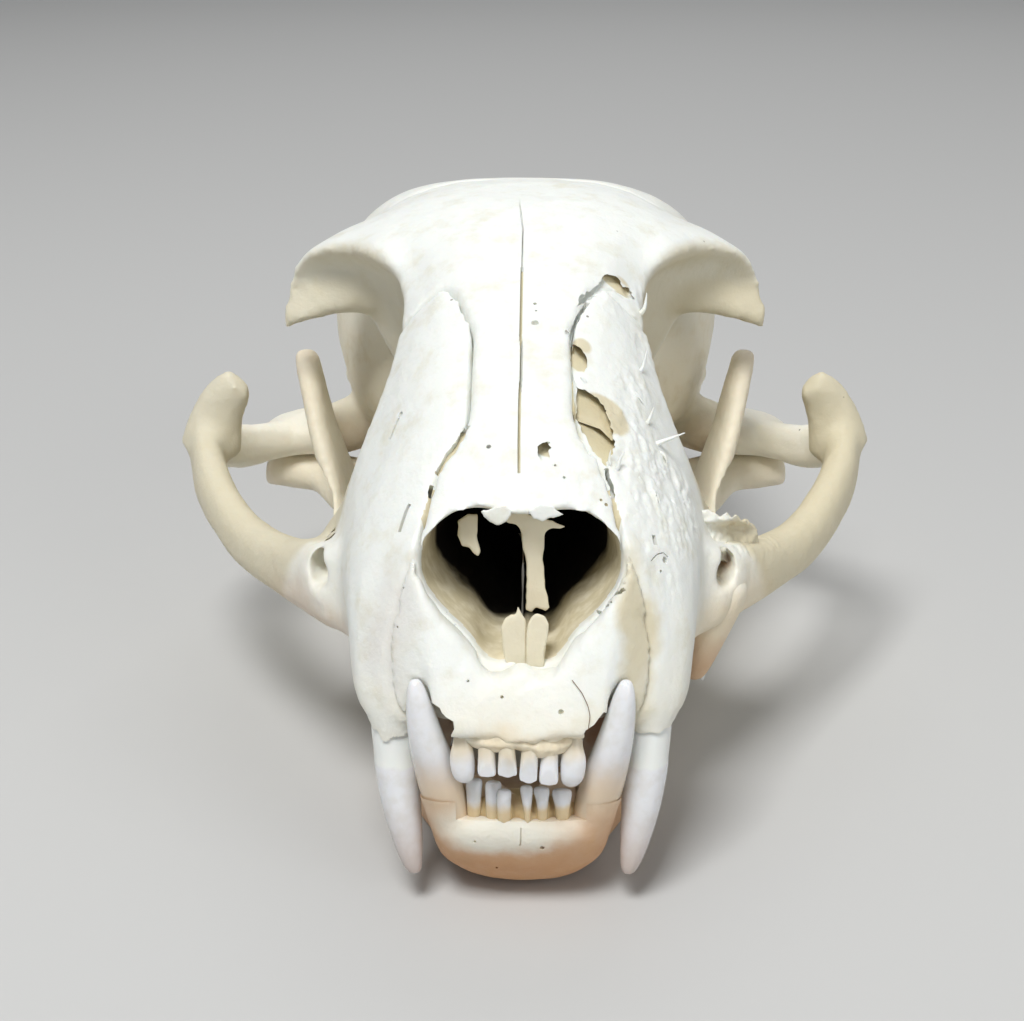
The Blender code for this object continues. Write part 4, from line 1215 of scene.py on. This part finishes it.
class SKULL_OT_stage(bpy.types.Operator):
    """Sets the floor, the lights and the camera"""
    bl_idname = "skull.stage"
    bl_label = "Stage"

    def execute(self, context):
        bpy.ops.object.select_all(action="DESELECT")
        bpy.ops.mesh.primitive_plane_add(size=FLOOR_SIDE, location=(0, 0, 0))
        floor = context.object
        floor.name = "floor"
        material = bpy.data.materials.new("floor")
        material.use_nodes = True
        shader = material.node_tree.nodes["Principled BSDF"]
        fill(shader, {"Base Color": colours()["floor"], "Roughness": 0.85})
        floor.data.materials.append(material)
        for name, place, size, power in LAMPS:
            data = bpy.data.lights.new(name, "AREA")
            data.size = size
            data.energy = power
            lamp = placed(name, data)
            lamp.location = place
            lamp.rotation_euler = (Vector(LAMP_TARGET) - Vector(place)).to_track_quat("-Z", "Y").to_euler()
        world = bpy.data.worlds.new("studio")
        world.use_nodes = True
        fill(world.node_tree.nodes["Background"], {"Color": SKY, "Strength": SKY_STRENGTH})
        context.scene.world = world
        context.scene.view_settings.view_transform = "Standard"
        data = bpy.data.cameras.new("camera")
        data.sensor_width = SENSOR
        data.lens = FOCAL_PIXELS * SENSOR / FRAME_WIDE
        data.clip_start = 0.01
        camera = placed("camera", data)
        camera.matrix_world = (
            Matrix.Translation(LAY @ EYE) @ Matrix.Rotation(-REST_TILT, 4, "X") @ AXES.to_4x4()
        )
        context.scene.camera = camera
        return {"FINISHED"}


class SKULL_PT_panel(bpy.types.Panel):
    """Lists the sizes, the colours and the steps"""
    bl_idname = "SKULL_PT_panel"
    bl_label = "Cat skull"
    bl_space_type = "VIEW_3D"
    bl_region_type = "UI"
    bl_category = "Skull"

    def draw(self, context):
        for group in (context.scene.skull_sizes, context.scene.skull_colours):
            for name in type(group).__annotations__:
                self.layout.prop(group, name)
        for step in STEPS:
            self.layout.operator(step.bl_idname)


STEPS = (
    SKULL_OT_vault, SKULL_OT_nose, SKULL_OT_cheeks, SKULL_OT_mouth, SKULL_OT_ears, SKULL_OT_canines,
    SKULL_OT_cheek_teeth, SKULL_OT_incisors, SKULL_OT_stage,
)
CLASSES = (SkullSizes, SkullColours, *STEPS, SKULL_PT_panel)


def register():
    for kind in CLASSES:
        bpy.utils.register_class(kind)
    bpy.types.Scene.skull_sizes = PointerProperty(type=SkullSizes)
    bpy.types.Scene.skull_colours = PointerProperty(type=SkullColours)


def unregister():
    del bpy.types.Scene.skull_colours
    del bpy.types.Scene.skull_sizes
    for kind in reversed(CLASSES):
        bpy.utils.unregister_class(kind)


def main():
    register()
    bpy.ops.skull.vault()
    bpy.ops.skull.nose()
    bpy.ops.skull.cheeks()
    bpy.ops.skull.mouth()
    bpy.ops.skull.ears()
    bpy.ops.skull.canines()
    bpy.ops.skull.cheek_teeth()
    bpy.ops.skull.incisors()
    bpy.ops.skull.stage()


if __name__ == "__main__":
    main()
